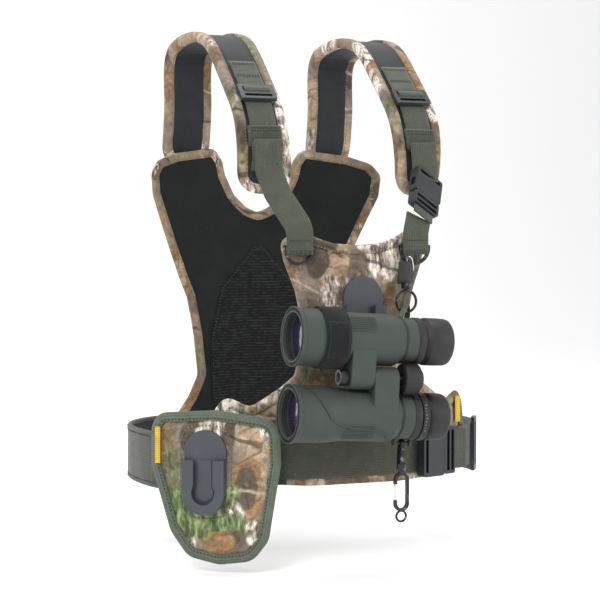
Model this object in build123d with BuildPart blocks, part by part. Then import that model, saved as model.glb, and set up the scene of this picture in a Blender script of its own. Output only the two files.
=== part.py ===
"""Binocular harness pack: a chest and back harness with quick-release receivers, a hip holster and a
binocular that hangs on the chest receiver.

Millimetres. +Z is up, the wearer faces -Y, and the wearer's left is +X. The origin is the centre of
the waist belt's loop, half way up the front webbing.
"""
from math import copysign, cos, pi, radians, sin
import os

from build123d import *

os.makedirs("parts", exist_ok=True)

# ---------------------------------------------------------------- driving dimensions
# The torso the harness is shaped to
TORSO_HALF_WIDTH = 152.0
TORSO_HALF_DEPTH = 116.0
TORSO_POWER = 2.5
TORSO_POINTS = 24

# Panels
CHEST_THICK = 4.0
BACK_THICK = 6.0
BINDING_WIDTH = 8.0
BINDING_PROUD = 0.6
MESH_THICK = 2.0

# Webbing
WEBBING_THICK = 1.5
STRAP_WIDTH = 25.0
WAIST_WIDTH = 38.0
BELT_WIDTH = 50.0
BELT_THICK = 4.0
LAYER_GAP = 0.3

# Shoulder pads
PAD_CENTRE_X = 76.0
PAD_WIDTH = 48.0
PAD_THICK = 9.0
PAD_TRIM_WIDTH = 9.0
PAD_PATH = [(TORSO_HALF_DEPTH - 4, 288.5), (TORSO_HALF_DEPTH + 1, 384), (45, 393), (-5, 384),
            (32 - TORSO_HALF_DEPTH, 310), (22 - TORSO_HALF_DEPTH, 270), (27 - TORSO_HALF_DEPTH, 237)]
PAD_PATH_RADII = [18, 60, 50, 40, 60]

# Metal rings and moulded hardware
D_RING_WIRE = 2.6
D_RING_CENTRE_X = 56.0
D_RING_TOP_Z = 190.0
BUCKLE_THICK = 9.0
BUCKLE_WALL = 2.0
RUNNING_GAP = 0.3

# Quick-release receivers
RECEIVER_WIDTH = 37.4
RECEIVER_HEIGHT = 72.8
RECEIVER_BASE_THICK = 3.0
RECEIVER_FRAME_THICK = 7.0
RECEIVER_BULB_RADIUS = 10.5
RECEIVER_NECK_WIDTH = 17.5
RECEIVER_BULB_DROP = 53.8
RECEIVER_FRAME_DROP = 25.4
RECEIVER_UNDERCUT = 1.8
CHEST_RECEIVER_X = 4.0
CHEST_RECEIVER_TOP_Z = 165.0
CHEST_RECEIVER_BACK_Y = -TORSO_HALF_DEPTH - 5.2

# Binocular
BARREL_SPACING = 65.0
BARREL_TILT = 3.3
BARREL_LENGTH = 145.0
BARREL_RIM_RADIUS = 25.5
BARREL_BODY_RADIUS = 22.5
BARREL_EYE_RADIUS = 19.5
BARREL_WALL = 1.8
BARREL_AXIS_Y = CHEST_RECEIVER_BACK_Y - 46.8
BARREL_START_X = -82.4
HINGE_FORWARD = 10.0
KNUCKLE_RADIUS = 10.0
PIN_RADIUS = 4.0
TRIPOD_THREAD_RADIUS = 3.175

# Hip holster
HOLSTER_ANGLE = 36.9
HOLSTER_SHIFT = -0.57
HOLSTER_OUTLINE = [(-58, 36), (-51, 47), (0, 50), (48, 44), (57, 34), (58, 4), (47, -62), (33, -80),
                   (3, -84), (-25, -78), (-41, -56), (-58, 1)]

# Chest panel
CHEST_HALF = [(0, 192.6), (22, 194), (38, 199), (50, 206), (70, 197), (67, 179), (57, 153), (50, 120),
              (57, 79), (70, 68), (95, 51), (113, 61), (121, 49), (125.5, 21), (124, 2), (113, -8),
              (89, -16), (43, -18.6), (0, -18.4)]
CHEST_SPAN = (-30, 220)

# Back panel
BACK_HALF = [(0, 224), (12, 229), (25, 241), (35, 261), (38, 275), (47, 287), (91, 281), (113, 273),
             (121, 261), (119, 240), (105, 206), (87, 162), (77, 140), (69.5, 103), (65, 64), (75, 44),
             (87, 29), (104, 2), (98, -18), (60, -25), (0, -25)]
MESH_HALF = [(0, 196), (40, 150), (52, 100), (50, 30), (0, 20)]
BACK_SPAN = (-40, 300)

# Shoulder pads and their webbing
WEBBING_BACK_Y = -8
WEBBING_FRONT_Z = 250
KEEPER_LOW_Z = 278
KEEPER_HIGH_Z = 296
KEEPER_EXTRA = 3

# Ladder locks on the shoulders
LOCK_WIDTH = 34.0
LOCK_LENGTH = 19.0
LOCK_THICK = 3.6
LOCK_SLOT = 3.2
LOCK_BAR_FROM_TOP = 3.0
LOCK_DISTANCE = 78.0

# Side-release buckles
SOCKET_LENGTH = 26.0
PLUG_BASE = 14.0
PRONG_LENGTH = 13.0
PRONG_THICK = 4.4
PRONG_WIDTH = 3.4
WINDOW_LENGTH = 8.0
WINDOW_FROM_MOUTH = 9.0
GUIDE_WIDTH = 6.0
BAR_SLOT = 3.2
TAIL_LENGTH = 8.0
TAIL_LIFT = 5.0

# Straps from the pads to the chest
STRAP_TOP = (77, 20.6 - TORSO_HALF_DEPTH, 252)
STRAP_FOOT = (58, -TORSO_HALF_DEPTH - 5.5, 210)
TAB_LOW_Z = 184.0
TAB_HIGH_Z = 207.0
SHOULDER_BUCKLE_WIDTH = 33.0
SHOULDER_BUCKLE_START = 24.0

# Waist webbing and belt
WAIST_LOW = -12.0
WAIST_HIGH = WAIST_LOW + WAIST_WIDTH
BELT_LOW = -24.0
BELT_HIGH = BELT_LOW + BELT_WIDTH
WAIST_BUCKLE_X = 84.0
WAIST_BUCKLE_WIDTH = 45.0
WAIST_TAIL = 18.0
GLIDE_HEIGHT = 50.0
GLIDE_LENGTH = 16.0
GLIDE_THICK = 3.4
GLIDE_X = 140.0
GLIDE_SLOT = 3.4

# Quick-release receivers
RECEIVER_TONGUE_RADIUS = 7.6
RECEIVER_TONGUE_NECK = 12.3
RECEIVER_TONGUE_RISE = 1.2
RECEIVER_UNDERCUT_DEEP = 3.0

# Hip holster
HOLSTER_STANDOFF = 23.13
HOLSTER_BINDING = 8.0
HOLSTER_RECEIVER_U = -8.0
HOLSTER_RECEIVER_TOP = 33.0
HANGER_WIDTH = 38.0
HANGER_GAP = 1.4
HOLSTER_HINGE_Z = 43.0

# Binocular
RIM_LENGTH = 3.0
BODY_FROM = 46.0
BODY_TO = 92.0
EYE_FROM = 98.0
EYE_TO = 118.0
STUB_TO = 130.0
STUB_RADIUS = 17.6
OBJECTIVE_AT = 7.0
FOCUS_CELL_AT = 34.0
PRISM_AT = 72.0
PRISM_SIDE = 26.0
OCULAR_AT = 122.0
CUP_RADIUS = 20.6
DIOPTER_RADIUS = 21.0
DIOPTER_LENGTH = 6.0
LUG_FROM = 101.4
LUG_TO = 118.0
LUG_EAR = 1.6
LUG_BAR_AT = 24.2
LUG_BAR_RADIUS = 1.3
UPPER_LUG_TURN = 135.0
LOWER_LUG_TURN = -100.0
BRIDGE_FROM = 48.0
BRIDGE_MIDDLE = 70.0
BRIDGE_TO = 93.0
BRIDGE_BARREL_HALF = 21.0
WHEEL_FROM = 98.5
WHEEL_TO = 114.0
WHEEL_RADIUS = 13.6
PIN_HEAD_RADIUS = 6.5
PIN_HEAD_LENGTH = 8.0
TRIPOD_THREAD_DEPTH = 9.0
WHEEL_RIBS = 20

# Binocular's hub and strap
HUB_FLANGE_RADIUS = 12.0
HUB_FLANGE_THICK = 1.1
HUB_POST_RADIUS = 10.2
HUB_POST_FLATS = 17.0
HUB_PLATE_FROM = 20.0
HUB_PLATE_TO = 100.0
HUB_PLATE_HALF = 13.0
BARREL_STRAP_FROM = 21.0
BARREL_STRAP_TO = 44.0
BARREL_STRAP_THICK = 1.6

# Tether and lower snap hook
TETHER_X = 44.0
TETHER_TOP_Z = 177.0
TETHER_LOW_Z = 160.0
TETHER_WIDTH = 14.0
TETHER_THICK = 2.0
COLLAR_RADIUS = 4.5
COLLAR_HEIGHT = 6.0
RING_Y = -TORSO_HALF_DEPTH - 12.6
RING_RADIUS = 9.6
RING_WIRE = 1.2
STEM_RADIUS = 1.8
LOOP_LUG_RADIUS = 3.3
LOOP_RING_RADIUS = 5.8
LOOP_THICK = 1.2
LOOP_WIDTH = 5.0
LINK_RADIUS = 3.6
LINK_BORE = 1.7
LINK_THICK = 3.4
LINK_DROP = 20.0
LINK_OVERLAP = 2.0
LINK_COLLAR_RADIUS = 4.2
LINK_COLLAR_HEIGHT = 5.0
HOOK_HEIGHT = 34.0
HOOK_HALF = 7.0
HOOK_INNER = 4.4
HOOK_THICK = 3.2
GATE_THICK = 2.0
GATE_LENGTH = 13.0
END_RING_RADIUS = 4.6
END_RING_WIRE = 1.0

# Small steps and gaps
FLAT_PART_ROUND = 1.2
SLOT_EXTRA = 1.0
BUCKLE_ROUND = 2.5
SOCKET_BORE_DEPTH = 15.0
SOCKET_SLOT_AT = 4.0
PLUG_SLOTS_AT = (5.0, 10.5)
STRAP_FACING = (0.35, -0.95, 0.2)
STRAP_RESUMES = 3.0
BELT_CLEARANCE = 1.6
HALF_CHORD = 1.0
WAIST_BUCKLE_STANDOFF = 0.8
GLIDE_STANDOFF = 0.5
GLIDE_SLOT_AT = 3.6
TAG_THICK = 0.8
HOLSTER_CORNER = 5.0
HOLSTER_TAG_AT = (-50, 20)
HOLSTER_TAG_SIZE = (8, 26)
HANGER_THICK = 0.9
HOLSTER_PAD_THICK = 6.4
LUG_TIP_RADIUS = 2.5
LUG_ROOT_RADIUS = 3.5
LUG_ROOT_AT = 16.6
LUG_ROOT_SUNK = 0.4
RIM_SLOPE = 2.0
RIM_STEP = 1.1
NECK_TO = 30.0
LENS_BULGE = 1.5
OBJECTIVE_THICK = 5.4
CELL_THICK = 6.0
OCULAR_THICK = 5.0
PRISM_CHAMFER = 3.0
CUP_LIP = 2.0
CUP_LIP_FROM = 143.0
CUP_MOUTH_RADIUS = 12.0
WHEEL_GROOVE_RADIUS = 0.7
SADDLE_BELOW_RIM = 0.9
RING_BELOW_COLLAR = 1.8
HOOK_TOP_GAP = 0.4
STEM_SUNK = 0.6
END_RING_SUNK = 0.4
WING_TAG_HEIGHTS = (30, 54)

# Where each band round the waist runs, in plan: (x_low, x_high, y_low, y_high)
WAIST_WEBBING_REGIONS = [(-118, 60, -200, 0), (106, 200, -200, -20)]
BELT_REGIONS = [(-200, 200, -45, 200), (-200, -80, -200, 0)]
WAIST_KEEPER_REGIONS = [(-76, -66, -200, 0)]
WING_TAG_REGIONS = [(108, 116, -200, 0)]


# ---------------------------------------------------------------- shared shapes
def torso_oval(outside):
    """The torso's outline, grown by so many millimetres."""
    points = []
    for step in range(TORSO_POINTS):
        angle = 2 * pi * step / TORSO_POINTS
        across = copysign(abs(cos(angle)) ** (2 / TORSO_POWER), cos(angle))
        deep = copysign(abs(sin(angle)) ** (2 / TORSO_POWER), sin(angle))
        points.append(((TORSO_HALF_WIDTH + outside) * across, (TORSO_HALF_DEPTH + outside) * deep))
    with BuildSketch(Plane.XY, mode=Mode.PRIVATE) as oval:
        with BuildLine():
            Spline(*points, periodic=True)
        make_face()
    return oval.sketch


def torso_wall(inside, outside, bottom, top):
    """A closed wall round the torso, between two distances from it."""
    wall = Plane.XY.offset(bottom) * (torso_oval(outside) - torso_oval(inside))
    return extrude(wall, amount=top - bottom)


def wrapped(outline, inside, outside, side, bottom, top):
    """An outline drawn in XZ and laid on the torso: side -1 is the chest and +1 the back."""
    wall = torso_wall(inside, outside, bottom, top)
    with BuildPart() as piece:
        with BuildSketch(Plane.XZ):
            add(outline)
        extrude(amount=-side * 2 * TORSO_HALF_DEPTH)
        add(wall, mode=Mode.INTERSECT)
    return piece


def mirrored_outline(half, radius):
    """A closed outline from its +X half, listed from top to bottom, with rounded corners."""
    other = [(-x, z) for x, z in reversed(half) if x > 0]
    with BuildSketch(Plane.XY, mode=Mode.PRIVATE) as outline:
        Polygon(*half, *other, align=None)
        fillet(outline.vertices(), radius=radius)
    return outline.sketch


def inset(outline, amount):
    """The same outline, moved inward."""
    with BuildSketch(Plane.XY, mode=Mode.PRIVATE) as smaller:
        add(outline)
        offset(amount=-amount, kind=Kind.INTERSECTION)
    return smaller.sketch


def rectangle(x_low, x_high, z_low, z_high):
    """A plain rectangle between two corners."""
    with BuildSketch(Plane.XY, mode=Mode.PRIVATE) as plain:
        with Locations(((x_low + x_high) / 2, (z_low + z_high) / 2)):
            Rectangle(x_high - x_low, z_high - z_low)
    return plain.sketch


def front_depth(x, outside):
    """How far in front of the centre the chest lies at x, on a layer outside the torso."""
    share = abs(x) / (TORSO_HALF_WIDTH + outside)
    return (TORSO_HALF_DEPTH + outside) * (1 - share ** TORSO_POWER) ** (1 / TORSO_POWER)


def oval_reach(angle):
    """How far the torso reaches in a level direction off the front, and how far aside that point lies."""
    dual = TORSO_POWER / (TORSO_POWER - 1)
    across = TORSO_HALF_WIDTH * sin(radians(angle))
    ahead = TORSO_HALF_DEPTH * cos(radians(angle))
    reach = (across ** dual + ahead ** dual) ** (1 / dual)
    side = TORSO_HALF_WIDTH * (across / reach) ** (dual - 1)
    deep = TORSO_HALF_DEPTH * (ahead / reach) ** (dual - 1)
    return reach, deep * sin(radians(angle)) - side * cos(radians(angle))


def pad_path():
    """The shoulder pad's outer surface, seen along X: up the back, over, and down the front."""
    with BuildLine(mode=Mode.PRIVATE) as path:
        FilletPolyline(*PAD_PATH, radius=PAD_PATH_RADII)
    return path.wires()[0]


def shoulder_band(inside, outside, x_low, x_high):
    """A band that follows the shoulder: inside and outside are measured out from the pad's surface."""
    way = Side.RIGHT if inside > 0 else Side.LEFT
    inner = pad_path().offset_2d(abs(inside), side=way, closed=False)
    profile = Face(inner.offset_2d(outside - inside, side=way, closed=True))
    return extrude(Plane.YZ.offset(x_low) * profile, amount=x_high - x_low, dir=(1, 0, 0))


def strap_plane(start, end, facing):
    """A plane at start with X along the strap to end and Z as near to facing as it can be."""
    along = (Vector(*end) - Vector(*start)).normalized()
    toward = Vector(*facing)
    normal = toward - along * toward.dot(along)
    return Plane(origin=start, x_dir=along, z_dir=normal)


def save(piece, name):
    """Label a finished piece and write it."""
    piece.part.label = name
    export_step(piece.part, f"parts/{name}.step")


# ---------------------------------------------------------------- chest panel
chest_outline = mirrored_outline(CHEST_HALF, 3)
chest_field = inset(chest_outline, BINDING_WIDTH)

chest_panel = wrapped(chest_field, 0, CHEST_THICK, -1, *CHEST_SPAN)
save(chest_panel, "chest_panel")
chest_binding = wrapped(chest_outline - chest_field, -BINDING_PROUD, CHEST_THICK + BINDING_PROUD, -1,
                        *CHEST_SPAN)
save(chest_binding, "chest_binding")
chest_front = CHEST_THICK + BINDING_PROUD


# ---------------------------------------------------------------- back panel
back_outline = mirrored_outline(BACK_HALF, 3)
back_field = inset(back_outline, BINDING_WIDTH)
mesh_outline = mirrored_outline(MESH_HALF, 6)

back_panel = wrapped(back_field, 0, BACK_THICK, 1, *BACK_SPAN)
save(back_panel, "back_panel")
back_binding = wrapped(back_outline - back_field, -BINDING_PROUD, BACK_THICK + BINDING_PROUD, 1,
                       *BACK_SPAN)
save(back_binding, "back_binding")
back_mesh = wrapped(mesh_outline, -MESH_THICK, 0, 1, *BACK_SPAN)
save(back_mesh, "back_mesh")


# ---------------------------------------------------------------- shoulder pads and their webbing
pad_core_half = PAD_WIDTH / 2 - PAD_TRIM_WIDTH
webbing_in = BINDING_PROUD + LAYER_GAP
webbing_out = webbing_in + WEBBING_THICK
keeper_in = webbing_out + LAYER_GAP
keeper_out = keeper_in + WEBBING_THICK


def in_box(solid, y_range, z_range):
    """The share of a shoulder band that lies between these depths and heights."""
    keep = Pos(0, sum(y_range) / 2, sum(z_range) / 2) * Box(
        4 * TORSO_HALF_WIDTH, y_range[1] - y_range[0], z_range[1] - z_range[0])
    return solid & keep


def joined(*solids):
    """One piece of finished solids."""
    with BuildPart() as piece:
        for solid in solids:
            add(solid)
    return piece


shoulder_webbings = []
keepers = []
trims = []
for side, name in ((-1, "right"), (1, "left")):
    centre = side * PAD_CENTRE_X
    core = shoulder_band(-PAD_THICK, 0, centre - pad_core_half, centre + pad_core_half)
    save(joined(core), f"shoulder_pad_{name}")

    for edge in (-1, 1):
        middle = centre + edge * (pad_core_half + PAD_TRIM_WIDTH / 2)
        trims.append(shoulder_band(-PAD_THICK - BINDING_PROUD, BINDING_PROUD,
                                   middle - PAD_TRIM_WIDTH / 2, middle + PAD_TRIM_WIDTH / 2))

    band = shoulder_band(webbing_in, webbing_out, centre - STRAP_WIDTH / 2, centre + STRAP_WIDTH / 2)
    shoulder_webbings.append(in_box(band, (-200, WEBBING_BACK_Y), (WEBBING_FRONT_Z, 500)))
    reach = STRAP_WIDTH / 2 + KEEPER_EXTRA
    band = shoulder_band(keeper_in, keeper_out, centre - reach, centre + reach)
    keepers.append(in_box(band, (-200, WEBBING_BACK_Y), (KEEPER_LOW_Z, KEEPER_HIGH_Z)))
save(joined(*trims), "shoulder_bindings")
save(joined(*shoulder_webbings), "shoulder_webbing")


# ---------------------------------------------------------------- ladder locks on the shoulders
run_start = Vector(0, *PAD_PATH[3])
run_end = Vector(0, *PAD_PATH[4])
run_along = (run_end - run_start).normalized()
run_out = Vector(0, run_along.Z, -run_along.Y)

for side, name in ((-1, "right"), (1, "left")):
    spot = run_start + run_along * LOCK_DISTANCE + run_out * (webbing_out + LAYER_GAP)
    lock_plane = Plane(origin=(side * PAD_CENTRE_X, spot.Y, spot.Z), x_dir=run_along, z_dir=run_out)
    with BuildPart(lock_plane) as lock:
        with Locations((LOCK_LENGTH / 2, 0, LOCK_THICK / 2)):
            Box(LOCK_LENGTH, LOCK_WIDTH, LOCK_THICK)
        fillet(lock.edges().group_by(SortBy.LENGTH)[0], radius=FLAT_PART_ROUND)
        with Locations((LOCK_BAR_FROM_TOP + LOCK_SLOT / 2, 0, LOCK_THICK / 2),
                       (LOCK_LENGTH - LOCK_BAR_FROM_TOP - LOCK_SLOT / 2, 0, LOCK_THICK / 2)):
            Box(LOCK_SLOT, STRAP_WIDTH + SLOT_EXTRA, 2 * LOCK_THICK, mode=Mode.SUBTRACT)
    save(lock, f"ladder_lock_{name}")


# ---------------------------------------------------------------- side-release buckles


def buckle(plane, width, webbing, tail):
    """A side-release buckle's socket and plug: X runs from socket to plug, Z stands off the webbing."""
    middle = BUCKLE_THICK / 2
    with BuildPart(plane) as socket:
        with Locations((-SOCKET_LENGTH / 2, 0, middle)):
            Box(SOCKET_LENGTH, width, BUCKLE_THICK)
        fillet(socket.edges().group_by(SortBy.LENGTH)[0], radius=BUCKLE_ROUND)
        with Locations((1 - SOCKET_BORE_DEPTH / 2, 0, middle)):
            Box(SOCKET_BORE_DEPTH, width - 2 * BUCKLE_WALL, BUCKLE_THICK - 2 * BUCKLE_WALL,
                mode=Mode.SUBTRACT)
        with Locations((-WINDOW_FROM_MOUTH, 0, middle)):
            Box(WINDOW_LENGTH, 2 * width, BUCKLE_THICK - 2 * BUCKLE_WALL, mode=Mode.SUBTRACT)
        with Locations((SOCKET_SLOT_AT - SOCKET_LENGTH, 0, middle)):
            Box(BAR_SLOT, webbing + SLOT_EXTRA, 2 * BUCKLE_THICK, mode=Mode.SUBTRACT)
    with BuildPart(plane) as plug:
        with Locations((RUNNING_GAP + PLUG_BASE / 2, 0, middle)):
            Box(PLUG_BASE, width - BUCKLE_WALL, BUCKLE_THICK)
        fillet(plug.edges().group_by(SortBy.LENGTH)[0], radius=BUCKLE_ROUND)
        with Locations(*[(RUNNING_GAP + at, 0, middle) for at in PLUG_SLOTS_AT]):
            Box(BAR_SLOT, webbing + SLOT_EXTRA, 2 * BUCKLE_THICK, mode=Mode.SUBTRACT)
        reach = PRONG_LENGTH + RUNNING_GAP
        prong_across = width / 2 - BUCKLE_WALL - RUNNING_GAP - PRONG_WIDTH / 2
        with Locations((RUNNING_GAP - PRONG_LENGTH / 2, -prong_across, middle),
                       (RUNNING_GAP - PRONG_LENGTH / 2, prong_across, middle)):
            Box(reach, PRONG_WIDTH, PRONG_THICK)
        with Locations((RUNNING_GAP - PRONG_LENGTH / 2, 0, middle)):
            Box(reach, GUIDE_WIDTH, PRONG_THICK)
    with BuildPart(plane) as strip:
        with Locations((RUNNING_GAP + PLUG_BASE + tail / 2, 0, TAIL_LIFT + WEBBING_THICK / 2)):
            Box(tail, webbing, WEBBING_THICK)
    return socket, plug, strip


# ---------------------------------------------------------------- straps from the pads to the chest

ring_half = STRAP_WIDTH / 2 + D_RING_WIRE
ring_back_y = -front_depth(D_RING_CENTRE_X - ring_half, chest_front) - LAYER_GAP
tab_back_y = ring_back_y - D_RING_WIRE - LAYER_GAP
strap_length = (Vector(*STRAP_FOOT) - Vector(*STRAP_TOP)).length
d_rings = []

for side, name in ((-1, "right"), (1, "left")):
    plane = strap_plane((side * STRAP_TOP[0], *STRAP_TOP[1:]), (side * STRAP_FOOT[0], *STRAP_FOOT[1:]),
                        (side * STRAP_FACING[0], *STRAP_FACING[1:]))
    begin = 0.0
    if side > 0:
        base = plane.offset(LAYER_GAP)
        mouth = Plane(origin=base.origin + base.x_dir * SHOULDER_BUCKLE_START, x_dir=base.x_dir,
                      z_dir=base.z_dir)
        socket, plug, tail = buckle(mouth, SHOULDER_BUCKLE_WIDTH, STRAP_WIDTH, TAIL_LENGTH)
        save(socket, "shoulder_buckle_socket")
        save(plug, "shoulder_buckle_plug")
        save(tail, "shoulder_buckle_tail")
        begin = SHOULDER_BUCKLE_START + PLUG_BASE + STRAP_RESUMES
    with BuildPart(plane) as strap:
        with Locations(((begin + strap_length) / 2, 0, -WEBBING_THICK / 2)):
            Box(strap_length - begin, STRAP_WIDTH, WEBBING_THICK)
    tab_x = side * D_RING_CENTRE_X
    with BuildPart() as tab:
        with Locations((tab_x, tab_back_y - WEBBING_THICK / 2, (TAB_LOW_Z + TAB_HIGH_Z) / 2)):
            Box(STRAP_WIDTH, WEBBING_THICK, TAB_HIGH_Z - TAB_LOW_Z)
    save(joined(strap.part, tab.part), f"chest_strap_{name}")

    with BuildPart() as d_ring:
        with BuildSketch(Plane.XZ.offset(-ring_back_y)):
            with Locations((tab_x, D_RING_TOP_Z)):
                Circle(ring_half)
                Circle(ring_half - D_RING_WIRE, mode=Mode.SUBTRACT)
                with Locations((0, ring_half)):
                    Rectangle(3 * ring_half, 2 * ring_half, mode=Mode.SUBTRACT)
                with Locations((0, D_RING_WIRE / 2)):
                    Rectangle(2 * ring_half, D_RING_WIRE)
        extrude(amount=D_RING_WIRE)
    d_rings.append(d_ring.part)
save(joined(*d_rings), "d_rings")


# ---------------------------------------------------------------- waist webbing and belt
waist_middle = (WAIST_LOW + WAIST_HIGH) / 2
waist_in = chest_front + LAYER_GAP
waist_out = waist_in + WEBBING_THICK
belt_in = BACK_THICK + BINDING_PROUD + BELT_CLEARANCE
belt_out = belt_in + BELT_THICK


def around(inside, outside, bottom, top, regions):
    """A band round the torso, kept only inside these plan rectangles (x_low, x_high, y_low, y_high)."""
    wall = torso_wall(inside, outside, bottom, top)
    with BuildPart() as piece:
        with BuildSketch(Plane.XY.offset(bottom)):
            for x_low, x_high, y_low, y_high in regions:
                add(rectangle(x_low, x_high, y_low, y_high))
        extrude(amount=top - bottom)
        add(wall, mode=Mode.INTERSECT)
    return piece


waist_webbing = around(waist_in, waist_out, WAIST_LOW, WAIST_HIGH,
                       WAIST_WEBBING_REGIONS)
save(waist_webbing, "waist_webbing")
waist_belt = around(belt_in, belt_out, BELT_LOW, BELT_HIGH,
                    BELT_REGIONS)
save(waist_belt, "waist_belt")

waist_keeper = around(waist_out + LAYER_GAP, waist_out + LAYER_GAP + WEBBING_THICK,
                      WAIST_LOW - KEEPER_EXTRA, WAIST_HIGH + KEEPER_EXTRA, WAIST_KEEPER_REGIONS)
save(joined(*keepers, waist_keeper.part), "webbing_keepers")

left_y = front_depth(WAIST_BUCKLE_X - HALF_CHORD, waist_in)
right_y = front_depth(WAIST_BUCKLE_X + HALF_CHORD, waist_in)
waist_along = Vector(2 * HALF_CHORD, left_y - right_y, 0).normalized()
waist_out_way = Vector(waist_along.Y, -waist_along.X, 0)
buckle_spot = Vector(WAIST_BUCKLE_X, -front_depth(WAIST_BUCKLE_X, waist_in), waist_middle)
buckle_plane = Plane(origin=buckle_spot + waist_out_way * WAIST_BUCKLE_STANDOFF, x_dir=waist_along,
                     z_dir=waist_out_way)
socket, plug, tail = buckle(buckle_plane, WAIST_BUCKLE_WIDTH, WAIST_WIDTH - BUCKLE_WALL, WAIST_TAIL)
save(socket, "waist_buckle_socket")
save(plug, "waist_buckle_plug")
save(tail, "waist_buckle_tail")

# tri-glide that adjusts the belt on the left side
behind = Vector(GLIDE_X + HALF_CHORD, -front_depth(GLIDE_X + HALF_CHORD, waist_out), 0)
ahead = Vector(GLIDE_X - HALF_CHORD, -front_depth(GLIDE_X - HALF_CHORD, waist_out), 0)
glide_along = (behind - ahead).normalized()
glide_out = Vector(glide_along.Y, -glide_along.X, 0)
glide_spot = (Vector(GLIDE_X, -front_depth(GLIDE_X, waist_out), waist_middle)
              + glide_out * GLIDE_STANDOFF)
glide_plane = Plane(origin=glide_spot, x_dir=glide_along, z_dir=glide_out)
with BuildPart(glide_plane) as belt_triglide:
    with Locations((0, 0, GLIDE_THICK / 2)):
        Box(GLIDE_LENGTH, GLIDE_HEIGHT, GLIDE_THICK)
    fillet(belt_triglide.edges().group_by(SortBy.LENGTH)[0], radius=FLAT_PART_ROUND)
    with Locations((-GLIDE_SLOT_AT, 0, GLIDE_THICK / 2), (GLIDE_SLOT_AT, 0, GLIDE_THICK / 2)):
        Box(GLIDE_SLOT, WAIST_WIDTH + 2 * SLOT_EXTRA, 2 * GLIDE_THICK, mode=Mode.SUBTRACT)
save(belt_triglide, "belt_triglide")

tag_in = chest_front + LAYER_GAP
wing_tag = around(tag_in, tag_in + TAG_THICK, *WING_TAG_HEIGHTS, WING_TAG_REGIONS)
save(wing_tag, "wing_tag")


# ---------------------------------------------------------------- quick-release receivers
def receiver(plane, name):
    """Base and frame: the plane's origin is the top centre of its back, Y is up and Z is outward."""
    height = -RECEIVER_HEIGHT / 2
    bulb = -RECEIVER_BULB_DROP
    frame_back = RECEIVER_BASE_THICK
    undercut_radius = RECEIVER_BULB_RADIUS + RECEIVER_UNDERCUT
    with BuildPart() as base:
        with BuildSketch(plane):
            with Locations((0, height)):
                SlotOverall(RECEIVER_HEIGHT, RECEIVER_WIDTH, rotation=90)
        extrude(amount=RECEIVER_BASE_THICK)
        with BuildSketch(plane.offset(RECEIVER_BASE_THICK)):
            with Locations((0, bulb)):
                Circle(RECEIVER_TONGUE_RADIUS)
            with Locations((0, (bulb - RECEIVER_FRAME_DROP) / 2)):
                Rectangle(RECEIVER_TONGUE_NECK, RECEIVER_BULB_DROP - RECEIVER_FRAME_DROP)
        extrude(amount=RECEIVER_TONGUE_RISE)
    save(base, f"{name}_base")
    with BuildPart() as frame:
        with BuildSketch(plane.offset(frame_back)):
            with Locations((0, height)):
                SlotOverall(RECEIVER_HEIGHT, RECEIVER_WIDTH, rotation=90)
            with Locations((0, 0)):
                Rectangle(2 * RECEIVER_WIDTH, 2 * RECEIVER_FRAME_DROP, mode=Mode.SUBTRACT)
        extrude(amount=RECEIVER_FRAME_THICK)
        with BuildSketch(plane.offset(frame_back)):
            with Locations((0, bulb)):
                Circle(undercut_radius)
            with Locations((0, bulb / 2)):
                Rectangle(2 * undercut_radius, RECEIVER_BULB_DROP)
        extrude(amount=RECEIVER_UNDERCUT_DEEP, mode=Mode.SUBTRACT)
        with BuildSketch(plane.offset(frame_back)):
            with Locations((0, bulb)):
                Circle(RECEIVER_BULB_RADIUS)
            with Locations((0, bulb / 2)):
                Rectangle(RECEIVER_NECK_WIDTH, RECEIVER_BULB_DROP)
        extrude(amount=RECEIVER_FRAME_THICK, mode=Mode.SUBTRACT)
    save(frame, f"{name}_frame")


chest_receiver_plane = Plane(origin=(CHEST_RECEIVER_X, CHEST_RECEIVER_BACK_Y, CHEST_RECEIVER_TOP_Z),
                             x_dir=(1, 0, 0), z_dir=(0, -1, 0))
receiver(chest_receiver_plane, "chest_receiver")


# ---------------------------------------------------------------- hip holster
holster_along = Vector(cos(radians(HOLSTER_ANGLE)), -sin(radians(HOLSTER_ANGLE)), 0)
holster_out = Vector(-sin(radians(HOLSTER_ANGLE)), -cos(radians(HOLSTER_ANGLE)), 0)
hip_reach, hip_shift = oval_reach(HOLSTER_ANGLE)
holster_front = hip_reach + HOLSTER_STANDOFF


def holster_plane(distance):
    """A plane across the hip at this distance from the torso's axis, with Y up."""
    spot = holster_along * (hip_shift + HOLSTER_SHIFT) + holster_out * distance
    return Plane(origin=spot, x_dir=holster_along, z_dir=holster_out)


holster_back = holster_front - HOLSTER_PAD_THICK
with BuildSketch(Plane.XY, mode=Mode.PRIVATE) as shield:
    Polygon(*HOLSTER_OUTLINE, align=None)
    fillet(shield.vertices(), radius=HOLSTER_CORNER)
holster_outline = shield.sketch
holster_field = inset(holster_outline, HOLSTER_BINDING)

with BuildPart() as holster_pad:
    with BuildSketch(holster_plane(holster_back)):
        add(holster_field)
    extrude(amount=HOLSTER_PAD_THICK)
save(holster_pad, "holster_pad")
with BuildPart() as holster_binding:
    with BuildSketch(holster_plane(holster_back - BINDING_PROUD)):
        add(holster_outline)
        add(holster_field, mode=Mode.SUBTRACT)
    extrude(amount=HOLSTER_PAD_THICK + 2 * BINDING_PROUD)
save(holster_binding, "holster_binding")
with BuildPart() as holster_tag:
    with BuildSketch(holster_plane(holster_front + BINDING_PROUD)):
        with Locations(HOLSTER_TAG_AT):
            Rectangle(*HOLSTER_TAG_SIZE)
    extrude(amount=TAG_THICK)
save(holster_tag, "holster_tag")

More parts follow.
